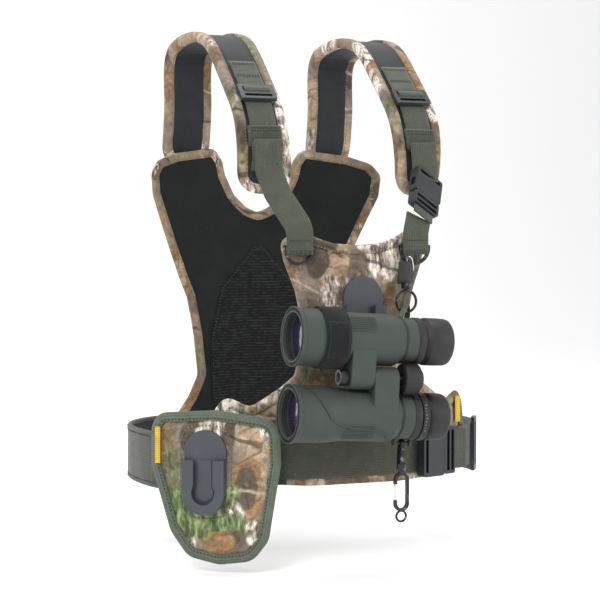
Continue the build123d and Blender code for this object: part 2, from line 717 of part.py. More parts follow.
holster_face = holster_plane(holster_front)
holster_receiver_plane = Plane(
    origin=holster_face.origin + holster_along * HOLSTER_RECEIVER_U + Vector(0, 0, HOLSTER_RECEIVER_TOP),
    x_dir=holster_along, z_dir=holster_out)
receiver(holster_receiver_plane, "holster_receiver")

with BuildPart() as holster_hanger:
    with BuildSketch(holster_plane(holster_back - BINDING_PROUD - HANGER_GAP)):
        with Locations((0, (BELT_LOW + HOLSTER_HINGE_Z) / 2)):
            Rectangle(HANGER_WIDTH, HOLSTER_HINGE_Z - BELT_LOW)
    extrude(amount=HANGER_THICK)
save(holster_hanger, "holster_hanger")


# ---------------------------------------------------------------- binocular
tilt = radians(BARREL_TILT)
barrel_along = Vector(cos(tilt), 0, -sin(tilt))
barrel_up = Vector(sin(tilt), 0, cos(tilt))
forward = Vector(0, -1, 0)
hub_centre_z = CHEST_RECEIVER_TOP_Z - RECEIVER_BULB_DROP
upper_start = Vector(BARREL_START_X, BARREL_AXIS_Y,
                     hub_centre_z + (CHEST_RECEIVER_X - BARREL_START_X) * sin(tilt) / cos(tilt))
lower_start = upper_start - barrel_up * BARREL_SPACING
hinge_start = upper_start - barrel_up * (BARREL_SPACING / 2) + forward * HINGE_FORWARD

body_bore = BARREL_BODY_RADIUS - BARREL_WALL
neck_radius = BARREL_RIM_RADIUS - RIM_STEP
eye_bore = STUB_RADIUS - BARREL_WALL


def turned_shape(start, profile):
    """A shape turned about a barrel's axis from a profile of (distance along, radius)."""
    with BuildPart() as piece:
        with BuildSketch(Plane(origin=start, x_dir=barrel_along, z_dir=forward)):
            Polygon(*profile, align=None)
        revolve(axis=Axis(start, barrel_along))
    return piece


def turned(start, name, profile):
    """A turned shape, written as a piece of its own."""
    save(turned_shape(start, profile), name)


def barrel_plane(start, distance):
    """A plane square to the barrels, looking from the objectives: X is away from the chest, Y is up."""
    return Plane(origin=start + barrel_along * distance, x_dir=forward, z_dir=-barrel_along)


def strap_lug(start, turn):
    """Two ears and the bar between them, standing on a barrel at this angle from straight out."""
    away = (cos(radians(turn)), sin(radians(turn)))
    bar_spot = (LUG_BAR_AT * away[0], LUG_BAR_AT * away[1])
    solids = []
    for ear_from in (LUG_FROM, LUG_TO - LUG_EAR):
        with BuildPart() as ear:
            with BuildSketch(barrel_plane(start, ear_from + LUG_EAR)):
                with Locations(bar_spot):
                    Circle(LUG_TIP_RADIUS)
                with Locations((LUG_ROOT_AT * away[0], LUG_ROOT_AT * away[1])):
                    Circle(LUG_ROOT_RADIUS)
                make_hull()
                Circle(BARREL_EYE_RADIUS - LUG_ROOT_SUNK, mode=Mode.SUBTRACT)
            extrude(amount=LUG_EAR)
        solids.append(ear.part)
    with BuildPart() as bar:
        with BuildSketch(barrel_plane(start, LUG_TO)):
            with Locations(bar_spot):
                Circle(LUG_BAR_RADIUS)
        extrude(amount=LUG_TO - LUG_FROM)
    return [*solids, bar.part]


for start, name, ring, lug_turn in ((upper_start, "upper", 0, UPPER_LUG_TURN),
                                    (lower_start, "lower", DIOPTER_LENGTH, LOWER_LUG_TURN)):
    barrel = turned_shape(start, [
        (0, body_bore), (0, BARREL_RIM_RADIUS), (RIM_LENGTH, BARREL_RIM_RADIUS),
        (RIM_LENGTH + RIM_SLOPE, neck_radius), (NECK_TO, neck_radius),
        (BODY_FROM, BARREL_BODY_RADIUS), (BODY_TO, BARREL_BODY_RADIUS), (EYE_FROM, BARREL_EYE_RADIUS),
        (EYE_TO, BARREL_EYE_RADIUS), (EYE_TO, STUB_RADIUS), (STUB_TO, STUB_RADIUS),
        (STUB_TO, eye_bore), (BODY_TO, eye_bore), (BODY_TO, body_bore)])
    save(joined(barrel.part, *strap_lug(start, lug_turn)), f"{name}_barrel")
    turned(start, f"{name}_objective_lens", [
        (OBJECTIVE_AT, 0), (OBJECTIVE_AT + LENS_BULGE, body_bore),
        (OBJECTIVE_AT + OBJECTIVE_THICK, body_bore), (OBJECTIVE_AT + OBJECTIVE_THICK - 1, 0)])
    cell = body_bore - RUNNING_GAP
    turned(start, f"{name}_focus_cell", [
        (FOCUS_CELL_AT, 0), (FOCUS_CELL_AT - 1, cell), (FOCUS_CELL_AT + CELL_THICK, cell),
        (FOCUS_CELL_AT + CELL_THICK / 2, 0)])
    turned(start, f"{name}_ocular_lens", [
        (OCULAR_AT, 0), (OCULAR_AT + 1, eye_bore), (OCULAR_AT + OCULAR_THICK - 1, eye_bore),
        (OCULAR_AT + OCULAR_THICK, 0)])
    with BuildPart(barrel_plane(start, PRISM_AT)) as prism:
        Box(PRISM_SIDE, PRISM_SIDE, PRISM_SIDE)
        chamfer(prism.edges().group_by(SortBy.LENGTH)[0][:4], length=PRISM_CHAMFER)
    save(prism, f"{name}_prism")
    cup_from = EYE_TO + RUNNING_GAP + ring
    turned(start, f"{name}_eyecup", [
        (cup_from, STUB_RADIUS + RUNNING_GAP), (cup_from, CUP_RADIUS), (CUP_LIP_FROM, CUP_RADIUS),
        (BARREL_LENGTH, CUP_RADIUS - CUP_LIP), (BARREL_LENGTH, CUP_MOUTH_RADIUS),
        (CUP_LIP_FROM, CUP_MOUTH_RADIUS), (CUP_LIP_FROM - 1, STUB_RADIUS + RUNNING_GAP)])

turned(lower_start, "diopter_ring", [
    (EYE_TO + RUNNING_GAP, STUB_RADIUS + RUNNING_GAP), (EYE_TO + RUNNING_GAP, DIOPTER_RADIUS),
    (EYE_TO + DIOPTER_LENGTH, DIOPTER_RADIUS), (EYE_TO + DIOPTER_LENGTH, STUB_RADIUS + RUNNING_GAP)])

# the two halves of the bridge, which turn on the centre pin

for name, sign, low, high, bore in (
        ("upper", 1, BRIDGE_FROM, BRIDGE_MIDDLE, PIN_RADIUS),
        ("lower", -1, BRIDGE_MIDDLE + RUNNING_GAP, BRIDGE_TO, PIN_RADIUS + RUNNING_GAP)):
    barrel_spot = (-HINGE_FORWARD, sign * BARREL_SPACING / 2)
    with BuildPart() as bridge:
        with BuildSketch(barrel_plane(hinge_start, high)):
            Circle(KNUCKLE_RADIUS)
            with Locations(barrel_spot):
                Circle(BRIDGE_BARREL_HALF)
            make_hull()
            with Locations(barrel_spot):
                Circle(BARREL_BODY_RADIUS, mode=Mode.SUBTRACT)
            Circle(bore, mode=Mode.SUBTRACT)
        extrude(amount=high - low)
    save(bridge, f"{name}_bridge")

turned(hinge_start, "hinge_pin", [
    (BRIDGE_FROM - PIN_HEAD_LENGTH, TRIPOD_THREAD_RADIUS), (BRIDGE_FROM - PIN_HEAD_LENGTH, PIN_HEAD_RADIUS),
    (BRIDGE_FROM, PIN_HEAD_RADIUS), (BRIDGE_FROM, PIN_RADIUS), (WHEEL_TO + 1, PIN_RADIUS),
    (WHEEL_TO + 1, 0), (BRIDGE_FROM - PIN_HEAD_LENGTH + TRIPOD_THREAD_DEPTH, 0),
    (BRIDGE_FROM - PIN_HEAD_LENGTH + TRIPOD_THREAD_DEPTH, TRIPOD_THREAD_RADIUS)])
with BuildPart() as focus_wheel:
    with BuildSketch(barrel_plane(hinge_start, WHEEL_TO)):
        Circle(WHEEL_RADIUS)
        with PolarLocations(WHEEL_RADIUS, WHEEL_RIBS):
            Circle(WHEEL_GROOVE_RADIUS, mode=Mode.SUBTRACT)
        Circle(PIN_RADIUS + RUNNING_GAP, mode=Mode.SUBTRACT)
    extrude(amount=WHEEL_TO - WHEEL_FROM)
save(focus_wheel, "focus_wheel")


# ---------------------------------------------------------------- binocular's hub and strap
hub_axis = chest_receiver_plane.origin + Vector(0, 0, -RECEIVER_BULB_DROP)
hub_plane = Plane(origin=hub_axis, x_dir=barrel_along, z_dir=forward)
flange_from = RECEIVER_BASE_THICK + RECEIVER_TONGUE_RISE + RUNNING_GAP
flange_to = flange_from + HUB_FLANGE_THICK
plate_from = RECEIVER_BASE_THICK + RECEIVER_FRAME_THICK + RUNNING_GAP

with BuildPart() as hub:
    with BuildSketch(hub_plane.offset(flange_from)):
        Circle(HUB_FLANGE_RADIUS)
    extrude(amount=HUB_FLANGE_THICK)
    with BuildSketch(hub_plane.offset(flange_to)):
        Circle(HUB_POST_RADIUS)
        Rectangle(3 * HUB_POST_RADIUS, HUB_POST_FLATS, mode=Mode.INTERSECT)
    extrude(amount=plate_from - flange_to)
save(hub, "hub")

saddle_radius = BARREL_RIM_RADIUS - SADDLE_BELOW_RIM
plate_back = CHEST_RECEIVER_BACK_Y - plate_from
plate_reach = abs(plate_back - BARREL_AXIS_Y)
with BuildPart() as hub_plate:
    with BuildSketch(barrel_plane(upper_start, HUB_PLATE_TO)):
        with Locations((-plate_reach / 2, 0)):
            Rectangle(plate_reach, 2 * HUB_PLATE_HALF)
        Circle(saddle_radius, mode=Mode.SUBTRACT)
    extrude(amount=HUB_PLATE_TO - HUB_PLATE_FROM)
    with BuildSketch(barrel_plane(upper_start, BARREL_STRAP_TO + RUNNING_GAP)):
        Circle(saddle_radius + BARREL_STRAP_THICK + RUNNING_GAP)
    extrude(amount=BARREL_STRAP_TO - BARREL_STRAP_FROM + 2 * RUNNING_GAP, mode=Mode.SUBTRACT)
save(hub_plate, "hub_plate")

turned(upper_start, "barrel_strap", [
    (BARREL_STRAP_FROM, saddle_radius), (BARREL_STRAP_FROM, saddle_radius + BARREL_STRAP_THICK),
    (BARREL_STRAP_TO, saddle_radius + BARREL_STRAP_THICK), (BARREL_STRAP_TO, saddle_radius)])


# ---------------------------------------------------------------- tether and lower snap hook

with BuildPart() as tether_strap:
    with Locations((TETHER_X, RING_Y + COLLAR_RADIUS / 2, (TETHER_TOP_Z + TETHER_LOW_Z) / 2)):
        Box(TETHER_WIDTH, TETHER_THICK, TETHER_TOP_Z - TETHER_LOW_Z)
save(tether_strap, "tether_strap")
with BuildPart() as tether_collar:
    with BuildSketch(Plane.XY.offset(TETHER_LOW_Z - COLLAR_HEIGHT)):
        with Locations((TETHER_X, RING_Y)):
            Circle(COLLAR_RADIUS)
            Circle(STEM_RADIUS + RUNNING_GAP, mode=Mode.SUBTRACT)
    extrude(amount=COLLAR_HEIGHT)
save(tether_collar, "tether_collar")
ring_centre_z = TETHER_LOW_Z - COLLAR_HEIGHT - RING_BELOW_COLLAR - RING_RADIUS
ring_plane = Plane(origin=(TETHER_X, RING_Y, ring_centre_z), x_dir=(1, 0, 0), z_dir=(0, 0, 1))
with BuildPart() as tether_ring:
    with BuildSketch(ring_plane):
        with Locations((RING_RADIUS, 0)):
            Circle(RING_WIRE)
    revolve(axis=Axis((TETHER_X, RING_Y, ring_centre_z), (0, 1, 0)))
    with BuildSketch(ring_plane.offset(RING_RADIUS)):
        Circle(STEM_RADIUS)
    extrude(amount=TETHER_LOW_Z - 2 * RUNNING_GAP - ring_centre_z - RING_RADIUS)
save(tether_ring, "tether_ring")

lug_along = (LUG_FROM + LUG_TO) / 2
lug_bar = (upper_start + barrel_along * lug_along
           + forward * (LUG_BAR_AT * cos(radians(UPPER_LUG_TURN)))
           + barrel_up * (LUG_BAR_AT * sin(radians(UPPER_LUG_TURN))))
ring_foot = Vector(TETHER_X, RING_Y, ring_centre_z - RING_RADIUS)
loop_run = ring_foot - lug_bar
loop_side = Vector(0, 0, 1).cross(loop_run)
loop_plane = Plane(origin=lug_bar, x_dir=loop_run, z_dir=loop_side)


def loop_outline(length, wall):
    """A loop that is narrow round the lug's bar and wide round the ring."""
    with BuildSketch(Plane.XY, mode=Mode.PRIVATE) as outline:
        Circle(LOOP_LUG_RADIUS + wall)
        with Locations((length, 0)):
            Circle(LOOP_RING_RADIUS + wall)
        make_hull()
    return outline.sketch


with BuildPart() as tether_loop:
    with BuildSketch(loop_plane.offset(-LOOP_WIDTH / 2)):
        add(loop_outline(loop_run.length, LOOP_THICK))
        add(loop_outline(loop_run.length, 0), mode=Mode.SUBTRACT)
    extrude(amount=LOOP_WIDTH)
save(tether_loop, "tether_loop")

# the snap hook that hangs from the lower barrel's lug
down = Vector(0, 0, -1)
lower_lug_bar = (lower_start + barrel_along * lug_along
                 + forward * (LUG_BAR_AT * cos(radians(LOWER_LUG_TURN)))
                 + barrel_up * (LUG_BAR_AT * sin(radians(LOWER_LUG_TURN))))


def hang_plane(drop):
    """A level plane so far below the lower lug's bar."""
    return Plane(origin=lower_lug_bar + down * drop, x_dir=(1, 0, 0), z_dir=(0, 0, 1))


link_face = Plane(origin=lower_lug_bar + barrel_along * (LINK_THICK / 2), x_dir=forward,
                  z_dir=-barrel_along)
with BuildPart() as hook_link:
    with BuildSketch(link_face):
        with Locations((0, -(LINK_DROP - LINK_RADIUS) / 2)):
            SlotCenterToCenter(LINK_DROP - LINK_RADIUS, 2 * LINK_RADIUS, rotation=90)
        Circle(LINK_BORE, mode=Mode.SUBTRACT)
    extrude(amount=LINK_THICK)
    with BuildSketch(hang_plane(LINK_DROP + LINK_COLLAR_HEIGHT)):
        Circle(LINK_COLLAR_RADIUS)
    extrude(amount=LINK_COLLAR_HEIGHT + LINK_OVERLAP)
    with BuildSketch(hang_plane(LINK_DROP + LINK_COLLAR_HEIGHT)):
        Circle(STEM_RADIUS + RUNNING_GAP)
    extrude(amount=LINK_COLLAR_HEIGHT, mode=Mode.SUBTRACT)
save(hook_link, "hook_link")

hook_top = LINK_DROP + LINK_COLLAR_HEIGHT + HOOK_TOP_GAP
with BuildPart() as snap_hook:
    with BuildSketch(Plane(origin=lower_lug_bar + down * hook_top + Vector(0, HOOK_THICK / 2, 0),
                           x_dir=(1, 0, 0), z_dir=(0, -1, 0))):
        with Locations((0, -HOOK_HEIGHT / 2)):
            SlotOverall(HOOK_HEIGHT, 2 * HOOK_HALF, rotation=90)
            SlotOverall(HOOK_HEIGHT - 2 * (HOOK_HALF - HOOK_INNER), 2 * HOOK_INNER, rotation=90,
                        mode=Mode.SUBTRACT)
        with Locations((-HOOK_HALF, -HOOK_HEIGHT / 2)):
            Rectangle(4 * (HOOK_HALF - HOOK_INNER), GATE_LENGTH + 2 * HOOK_TOP_GAP, mode=Mode.SUBTRACT)
    extrude(amount=HOOK_THICK)
    with BuildSketch(hang_plane(hook_top + STEM_SUNK)):
        Circle(STEM_RADIUS)
    extrude(amount=LINK_COLLAR_HEIGHT)

end_ring_plane = hang_plane(hook_top + HOOK_HEIGHT + END_RING_RADIUS - END_RING_SUNK)
with BuildPart() as hook_end_ring:
    with BuildSketch(end_ring_plane):
        with Locations((END_RING_RADIUS, 0)):
            Circle(END_RING_WIRE)
    revolve(axis=Axis(end_ring_plane.origin, (0, 1, 0)))
save(joined(snap_hook.part, hook_end_ring.part), "snap_hook")

gate_x = -(HOOK_HALF + HOOK_INNER) / 2
with BuildPart() as hook_gate:
    with BuildSketch(Plane(origin=lower_lug_bar + down * hook_top + Vector(0, GATE_THICK / 2, 0),
                           x_dir=(1, 0, 0), z_dir=(0, -1, 0))):
        with Locations((gate_x, -HOOK_HEIGHT / 2)):
            SlotOverall(GATE_LENGTH, GATE_THICK, rotation=90)
    extrude(amount=GATE_THICK)
save(hook_gate, "hook_gate")
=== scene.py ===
"""A binocular harness pack, seen from in front and a little to the wearer's right.

Blender works in metres. Sizes in this file are in millimetres until a mesh is made.
"""
import math

import bmesh
import bpy
import numpy as np
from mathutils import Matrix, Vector
from mathutils.geometry import delaunay_2d_cdt


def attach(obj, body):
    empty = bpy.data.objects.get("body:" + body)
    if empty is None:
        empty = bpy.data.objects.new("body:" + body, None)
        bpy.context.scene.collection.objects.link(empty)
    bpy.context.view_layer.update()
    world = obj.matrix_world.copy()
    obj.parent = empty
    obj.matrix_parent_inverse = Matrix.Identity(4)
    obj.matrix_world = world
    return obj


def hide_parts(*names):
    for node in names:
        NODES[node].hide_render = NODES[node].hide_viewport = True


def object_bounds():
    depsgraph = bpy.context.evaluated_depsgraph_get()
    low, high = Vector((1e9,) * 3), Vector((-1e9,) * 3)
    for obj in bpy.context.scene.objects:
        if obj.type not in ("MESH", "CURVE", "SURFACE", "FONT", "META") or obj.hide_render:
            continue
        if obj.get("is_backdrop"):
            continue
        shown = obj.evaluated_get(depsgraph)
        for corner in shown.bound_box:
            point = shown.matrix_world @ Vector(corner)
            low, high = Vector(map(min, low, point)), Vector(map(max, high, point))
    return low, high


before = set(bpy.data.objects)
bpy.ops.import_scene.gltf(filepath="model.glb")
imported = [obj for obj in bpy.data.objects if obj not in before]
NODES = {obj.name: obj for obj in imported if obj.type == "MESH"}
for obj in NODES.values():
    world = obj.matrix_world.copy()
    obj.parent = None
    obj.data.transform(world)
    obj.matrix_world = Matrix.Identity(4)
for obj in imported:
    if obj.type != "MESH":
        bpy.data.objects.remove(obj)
cad_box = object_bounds()
MM = 0.001

STRAP_HALF = 12.5                # half the width of the shoulder webbing
WEB_LAYERS = (4.9, 6.4)          # the waist webbing's two faces, outside the torso
WAIST_HEIGHTS = (-12, 26)        # the waist webbing's lower and upper edge
BELT_HEIGHTS = (-24, 26)         # the padded belt's lower and upper edge
PAD_STEP = 1.5                   # between two points of the shoulder pads' line
AIR_FRAMES = 20                  # of the simulation that fills a pad
FLOOR_HEIGHT = -92


# ---------------------------------------------------------------- material nodes
class Shader:
    """A material, with short ways to add and join its nodes."""

    def __init__(self, name, rough=0.7, metal=0.0, sheen=0.0, coat=0.0, specular=0.5):
        self.material = bpy.data.materials.new(name)
        self.material.use_nodes = True
        self.tree = self.material.node_tree
        self.face = self.tree.nodes["Principled BSDF"]
        for socket, value in (("Roughness", rough), ("Metallic", metal), ("Sheen Weight", sheen),
                              ("Coat Weight", coat), ("Specular IOR Level", specular)):
            self.face.inputs[socket].default_value = value

    def node(self, kind, links=(), **settings):
        made = self.tree.nodes.new("ShaderNode" + kind)
        for key, value in settings.items():
            setattr(made, key, value)
        for socket, value in links:
            if isinstance(value, bpy.types.NodeSocket):
                self.tree.links.new(value, made.inputs[socket])
            else:
                made.inputs[socket].default_value = value
        return made

    def coords(self, kind="Object"):
        return self.node("TexCoord").outputs[kind]

    def mapped(self, vector, scale=(1, 1, 1), turn=(0, 0, 0)):
        return self.node("Mapping", [("Vector", vector), ("Scale", scale), ("Rotation", turn)]).outputs[0]

    def noise(self, vector, scale, detail=2.0, rough=0.55, colour=False):
        made = self.node("TexNoise", [("Vector", vector), ("Scale", scale), ("Detail", detail),
                                      ("Roughness", rough)])
        return made.outputs["Color" if colour else "Fac"]

    def wave(self, vector, period, way="X", distort=0.0):
        made = self.node("TexWave", [("Vector", vector), ("Scale", math.pi / 10 / (period * MM)),
                                     ("Distortion", distort), ("Detail", 1.0)], bands_direction=way)
        return made.outputs["Fac"]

    def cells(self, vector, scale, colour=False):
        made = self.node("TexVoronoi", [("Vector", vector), ("Scale", scale)])
        return made.outputs["Color" if colour else "Distance"]

    def ramp(self, value, stops, sharp=False):
        made = self.node("ValToRGB", [("Fac", value)])
        line = made.color_ramp
        line.interpolation = "CONSTANT" if sharp else "LINEAR"
        while len(line.elements) < len(stops):
            line.elements.new(0.5)
        for element, (place, colour) in zip(line.elements, stops):
            element.position = place
            element.color = (*colour, 1) if isinstance(colour, tuple) else (colour, colour, colour, 1)
        return made.outputs["Color"]

    def mix(self, share, first, second, way="MIX"):
        made = self.node("Mix", data_type="RGBA", blend_type=way)
        for socket, value in ((0, share), (6, first), (7, second)):
            if isinstance(value, bpy.types.NodeSocket):
                self.tree.links.new(value, made.inputs[socket])
            else:
                made.inputs[socket].default_value = (*value, 1) if isinstance(value, tuple) else value
        return made.outputs[2]

    def maths(self, way, first, second=0.0):
        return self.node("Math", [(0, first), (1, second)], operation=way).outputs[0]

    def shifted(self, vector, scale, amount):
        """The same coordinates, pushed about by a noise."""
        push = self.node("VectorMath", [(0, self.noise(vector, scale, 2, colour=True)), (1, (0.5, 0.5, 0.5))],
                         operation="SUBTRACT").outputs[0]
        push = self.node("VectorMath", [(0, push), ("Scale", amount)], operation="SCALE").outputs[0]
        return self.node("VectorMath", [(0, vector), (1, push)], operation="ADD").outputs[0]

    def finish(self, colour, height=None, depth=0.3, strength=0.6, rough=None):
        def join(value, socket):
            if isinstance(value, bpy.types.NodeSocket):
                self.tree.links.new(value, self.face.inputs[socket])
            else:
                self.face.inputs[socket].default_value = (*value, 1)
        join(colour, "Base Color")
        if height is not None:
            bump = self.node("Bump", [("Height", height), ("Strength", strength), ("Distance", depth * MM)])
            self.tree.links.new(bump.outputs[0], self.face.inputs["Normal"])
        if rough is not None:
            self.tree.links.new(rough, self.face.inputs["Roughness"])
        return self.material


def camo(name, light, green):
    """Printed cloth: leaves in rust and tan, grey bark, pale streaks and green fern, over a fine weave."""
    s = Shader(name, rough=0.88, sheen=0.08, specular=0.2)
    p = s.coords()
    bent = s.shifted(p, 24, 0.030)
    ground = s.ramp(s.noise(bent, 15, 5, 0.62), [
        (0.30, (0.030, 0.026, 0.022)), (0.40, (0.105, 0.088, 0.070)), (0.50, (0.175, 0.150, 0.125)),
        (0.58, (0.27, 0.215, 0.155)), (0.70, (0.115, 0.095, 0.075))])
    for turn, scale, cut, hues in (
            ((0.3, 0.7, 0.1), (26, 30, 15), 0.42,
             ((0.245, 0.150, 0.080), (0.155, 0.110, 0.070), (0.32, 0.245, 0.170))),
            ((0.1, -0.6, 0.5), (34, 30, 19), 0.34,
             ((0.35, 0.285, 0.215), (0.085, 0.07, 0.055), (0.205, 0.135, 0.085)))):
        spread = s.mapped(s.shifted(p, 30, 0.016), scale, turn)
        leaf = s.ramp(s.cells(spread, 1.0), [(cut, 1.0), (cut + 0.06, 0.0)])
        pick = s.node("SeparateColor", [(0, s.cells(spread, 1.0, colour=True))]).outputs[0]
        hue = s.ramp(pick, [(0.0, hues[0]), (0.35, hues[1]), (0.68, hues[2])], sharp=True)
        shade = s.ramp(s.noise(p, 95, 5, 0.7), [(0.30, 0.45), (0.70, 1.25)])
        veins = s.ramp(s.wave(s.mapped(bent, turn=turn), 7.5, "DIAGONAL", 1.5), [(0.0, 0.5), (0.14, 0.0)])
        ground = s.mix(leaf, ground, s.mix(veins, s.mix(1.0, hue, shade, "MULTIPLY"), (0.06, 0.045, 0.03)))
    bark = s.ramp(s.noise(s.mapped(bent, (1, 1, 0.7), (0.9, 0.2, 0.6)), 19, 3), [(0.555, 0.0), (0.60, 1.0)])
    grain = s.noise(s.mapped(s.shifted(p, 50, 0.010), (190, 190, 38), (0.0, 0.75, 0.0)), 1.0, 4, 0.7)
    streak = s.ramp(grain, [
        (0.38, (0.050, 0.042, 0.038)), (0.50, (0.34, 0.30, 0.27)), (0.60, (0.72, 0.68, 0.65))])
    ground = s.mix(bark, ground, streak)
    fern = s.ramp(s.noise(s.mapped(bent, turn=(0.4, 1.1, 0.3)), 16, 3), [(0.57, 0.0), (0.62, 1.0)])
    blades = s.ramp(s.noise(s.mapped(s.shifted(p, 70, 0.006), (260, 260, 60), (0, -0.6, 0)), 1.0, 3), [
        (0.36, (0.035, 0.055, 0.022)), (0.50, (0.10, 0.145, 0.060)), (0.62, (0.21, 0.27, 0.13))])
    ground = s.mix(s.maths("MULTIPLY", fern, green), ground, blades)
    twig = s.wave(s.mapped(s.shifted(p, 14, 0.045), turn=(0.1, 0.55, 0.2)), 46, "DIAGONAL")
    broken = s.ramp(s.noise(p, 30, 3), [(0.50, 0.0), (0.56, 1.0)])
    pale = s.ramp(twig, [(0.0, 0.7), (0.0022, 0.6), (0.0045, 0.0)])
    ground = s.mix(s.maths("MULTIPLY", broken, pale), ground, (0.36, 0.31, 0.25))
    dark = s.ramp(twig, [(0.990, 0.0), (0.996, 0.7)])
    ground = s.mix(s.maths("MULTIPLY", broken, dark), ground, (0.030, 0.025, 0.021))
    fleck = s.ramp(s.noise(p, 240, 4, 0.7), [(0.30, 0.70), (0.72, 1.35)])
    ground = s.mix(1.0, ground, fleck, "MULTIPLY")
    ground = s.mix(1.0, ground, light, "MULTIPLY")
    weave = s.maths("ADD", s.wave(p, 1.5, "X"), s.wave(p, 1.5, "Z"))
    creases = s.noise(p, 55, 3)
    return s.finish(ground, s.maths("ADD", s.maths("MULTIPLY", weave, 0.15), creases), 1.6, 0.5)


def woven(name, colour, second, period=2.4, sheen=0.2, worn=(0.5, 0.5, 0.42)):
    """Flat nylon webbing: ribs across it, fine lines along it, painted shade in the ribs' low parts, and pale
    wear in patches.
    """
    s = Shader(name, rough=0.72, sheen=sheen, specular=0.35)
    p = s.coords("UV")
    across = s.wave(p, period, "X")
    along = s.wave(p, period * 0.9, "Y")
    ribs = s.maths("ADD", s.maths("MULTIPLY", across, 0.35), s.maths("MULTIPLY", along, 0.65))
    blotch = s.noise(s.coords(), 90, 3)
    tone = s.mix(s.ramp(blotch, [(0.35, 0.0), (0.7, 1.0)]), colour, second)
    # painted shade: the tone is darkened towards near black in the low parts of the ribs
    tone = s.mix(s.ramp(ribs, [(0.0, 0.6), (0.5, 0.0)]), tone, (0.012, 0.013, 0.010))
    wear = s.ramp(s.noise(s.coords(), 420, 3), [(0.66, 0.0), (0.80, 0.25)])
    tone = s.mix(wear, tone, worn)
    return s.finish(tone, ribs, 0.5, 0.7)


def cloth(name, colour, second, pitch, depth, sheen=0.5, rough=0.8):
    """Knit or satin lining: a soft mottle, a fine grain and slight creases."""
    s = Shader(name, rough=rough, sheen=sheen, specular=0.3)
    p = s.coords()
    tone = s.mix(s.ramp(s.noise(p, 40, 4), [(0.3, 0.0), (0.7, 1.0)]), colour, second)
    grain = s.maths("MULTIPLY", s.wave(p, pitch, "X", 0.4), s.wave(p, pitch, "Z", 0.4))
    fold = s.noise(p, 70, 3)
    return s.finish(tone, s.maths("ADD", s.maths("MULTIPLY", grain, 0.4), fold), depth, 0.55)


def spacer():
    """Open spacer mesh: rows of small holes in a dark knit; the holes are real, and their near-black darkness is
    painted shade.
    """
    s = Shader("spacer_mesh", rough=0.8, sheen=0.05, specular=0.2)
    p = s.coords()
    hole = s.cells(s.mapped(s.shifted(p, 40, 0.004), (1.0, 0.2, 1.7)), 210)
    rows = s.wave(s.shifted(p, 30, 0.004), 2.8, "Z")
    weave = s.maths("MULTIPLY", hole, rows)
    # painted shade: the holes and the low lines between rows are darkened towards black
    tone = s.ramp(weave, [
        (0.10, (0.003, 0.003, 0.003)), (0.42, (0.009, 0.010, 0.010)), (0.62, (0.022, 0.025, 0.025))])
    return s.finish(tone, weave, 1.0, 0.8)


def moulded(name, colour, rough=0.45, grain=900, depth=0.12, worn=(0.16, 0.17, 0.18), specular=0.5):
    """Moulded plastic or rubber: fine grain, uneven gloss and rubbed patches."""
    s = Shader(name, rough=rough, specular=specular)
    p = s.coords()
    fine = s.noise(p, grain, 3)
    patch = s.noise(p, 60, 4)
    tone = s.mix(s.ramp(patch, [(0.50, 0.0), (0.80, 0.5)]), colour, worn)
    gloss = s.maths("ADD", s.maths("MULTIPLY", patch, 0.35), rough - 0.15)
    return s.finish(tone, fine, depth, 0.6, gloss)


def metal(name, colour, rough, shine=1.0):
    """Plated or painted wire: drawn lines, small scratches and worn spots."""
    s = Shader(name, rough=rough, metal=shine)
    p = s.coords()
    lines = s.noise(s.mapped(p, (300, 300, 2400)), 1.0, 3)
    spots = s.ramp(s.noise(p, 260, 4), [(0.58, 0.0), (0.74, 0.5)])
    tone = s.mix(spots, colour, (0.55, 0.55, 0.55))
    return s.finish(tone, lines, 0.05, 0.5, s.maths("ADD", s.maths("MULTIPLY", lines, 0.2), rough - 0.08))


def glass(name, tint, rough=0.05):
    """A coated lens: a tinted mirror that is deeper in its middle."""
    s = Shader(name, rough=rough, metal=0.3, coat=1.0)
    p = s.coords()
    return s.finish(s.mix(s.noise(p, 18, 1), tint, (0.02, 0.03, 0.07)), s.noise(p, 12, 1), 0.02, 0.2)


def fuzzy(name, colour):
    """Hook-and-loop pile."""
    s = Shader(name, rough=0.95, sheen=0.06, specular=0.12)
    p = s.coords()
    pile = s.noise(p, 900, 4, 0.7)
    tone = s.mix(s.ramp(pile, [(0.35, 0.0), (0.7, 1.0)]), colour, (0.020, 0.020, 0.021))
    return s.finish(tone, s.maths("ADD", pile, s.noise(p, 300, 2)), 1.0, 0.9)


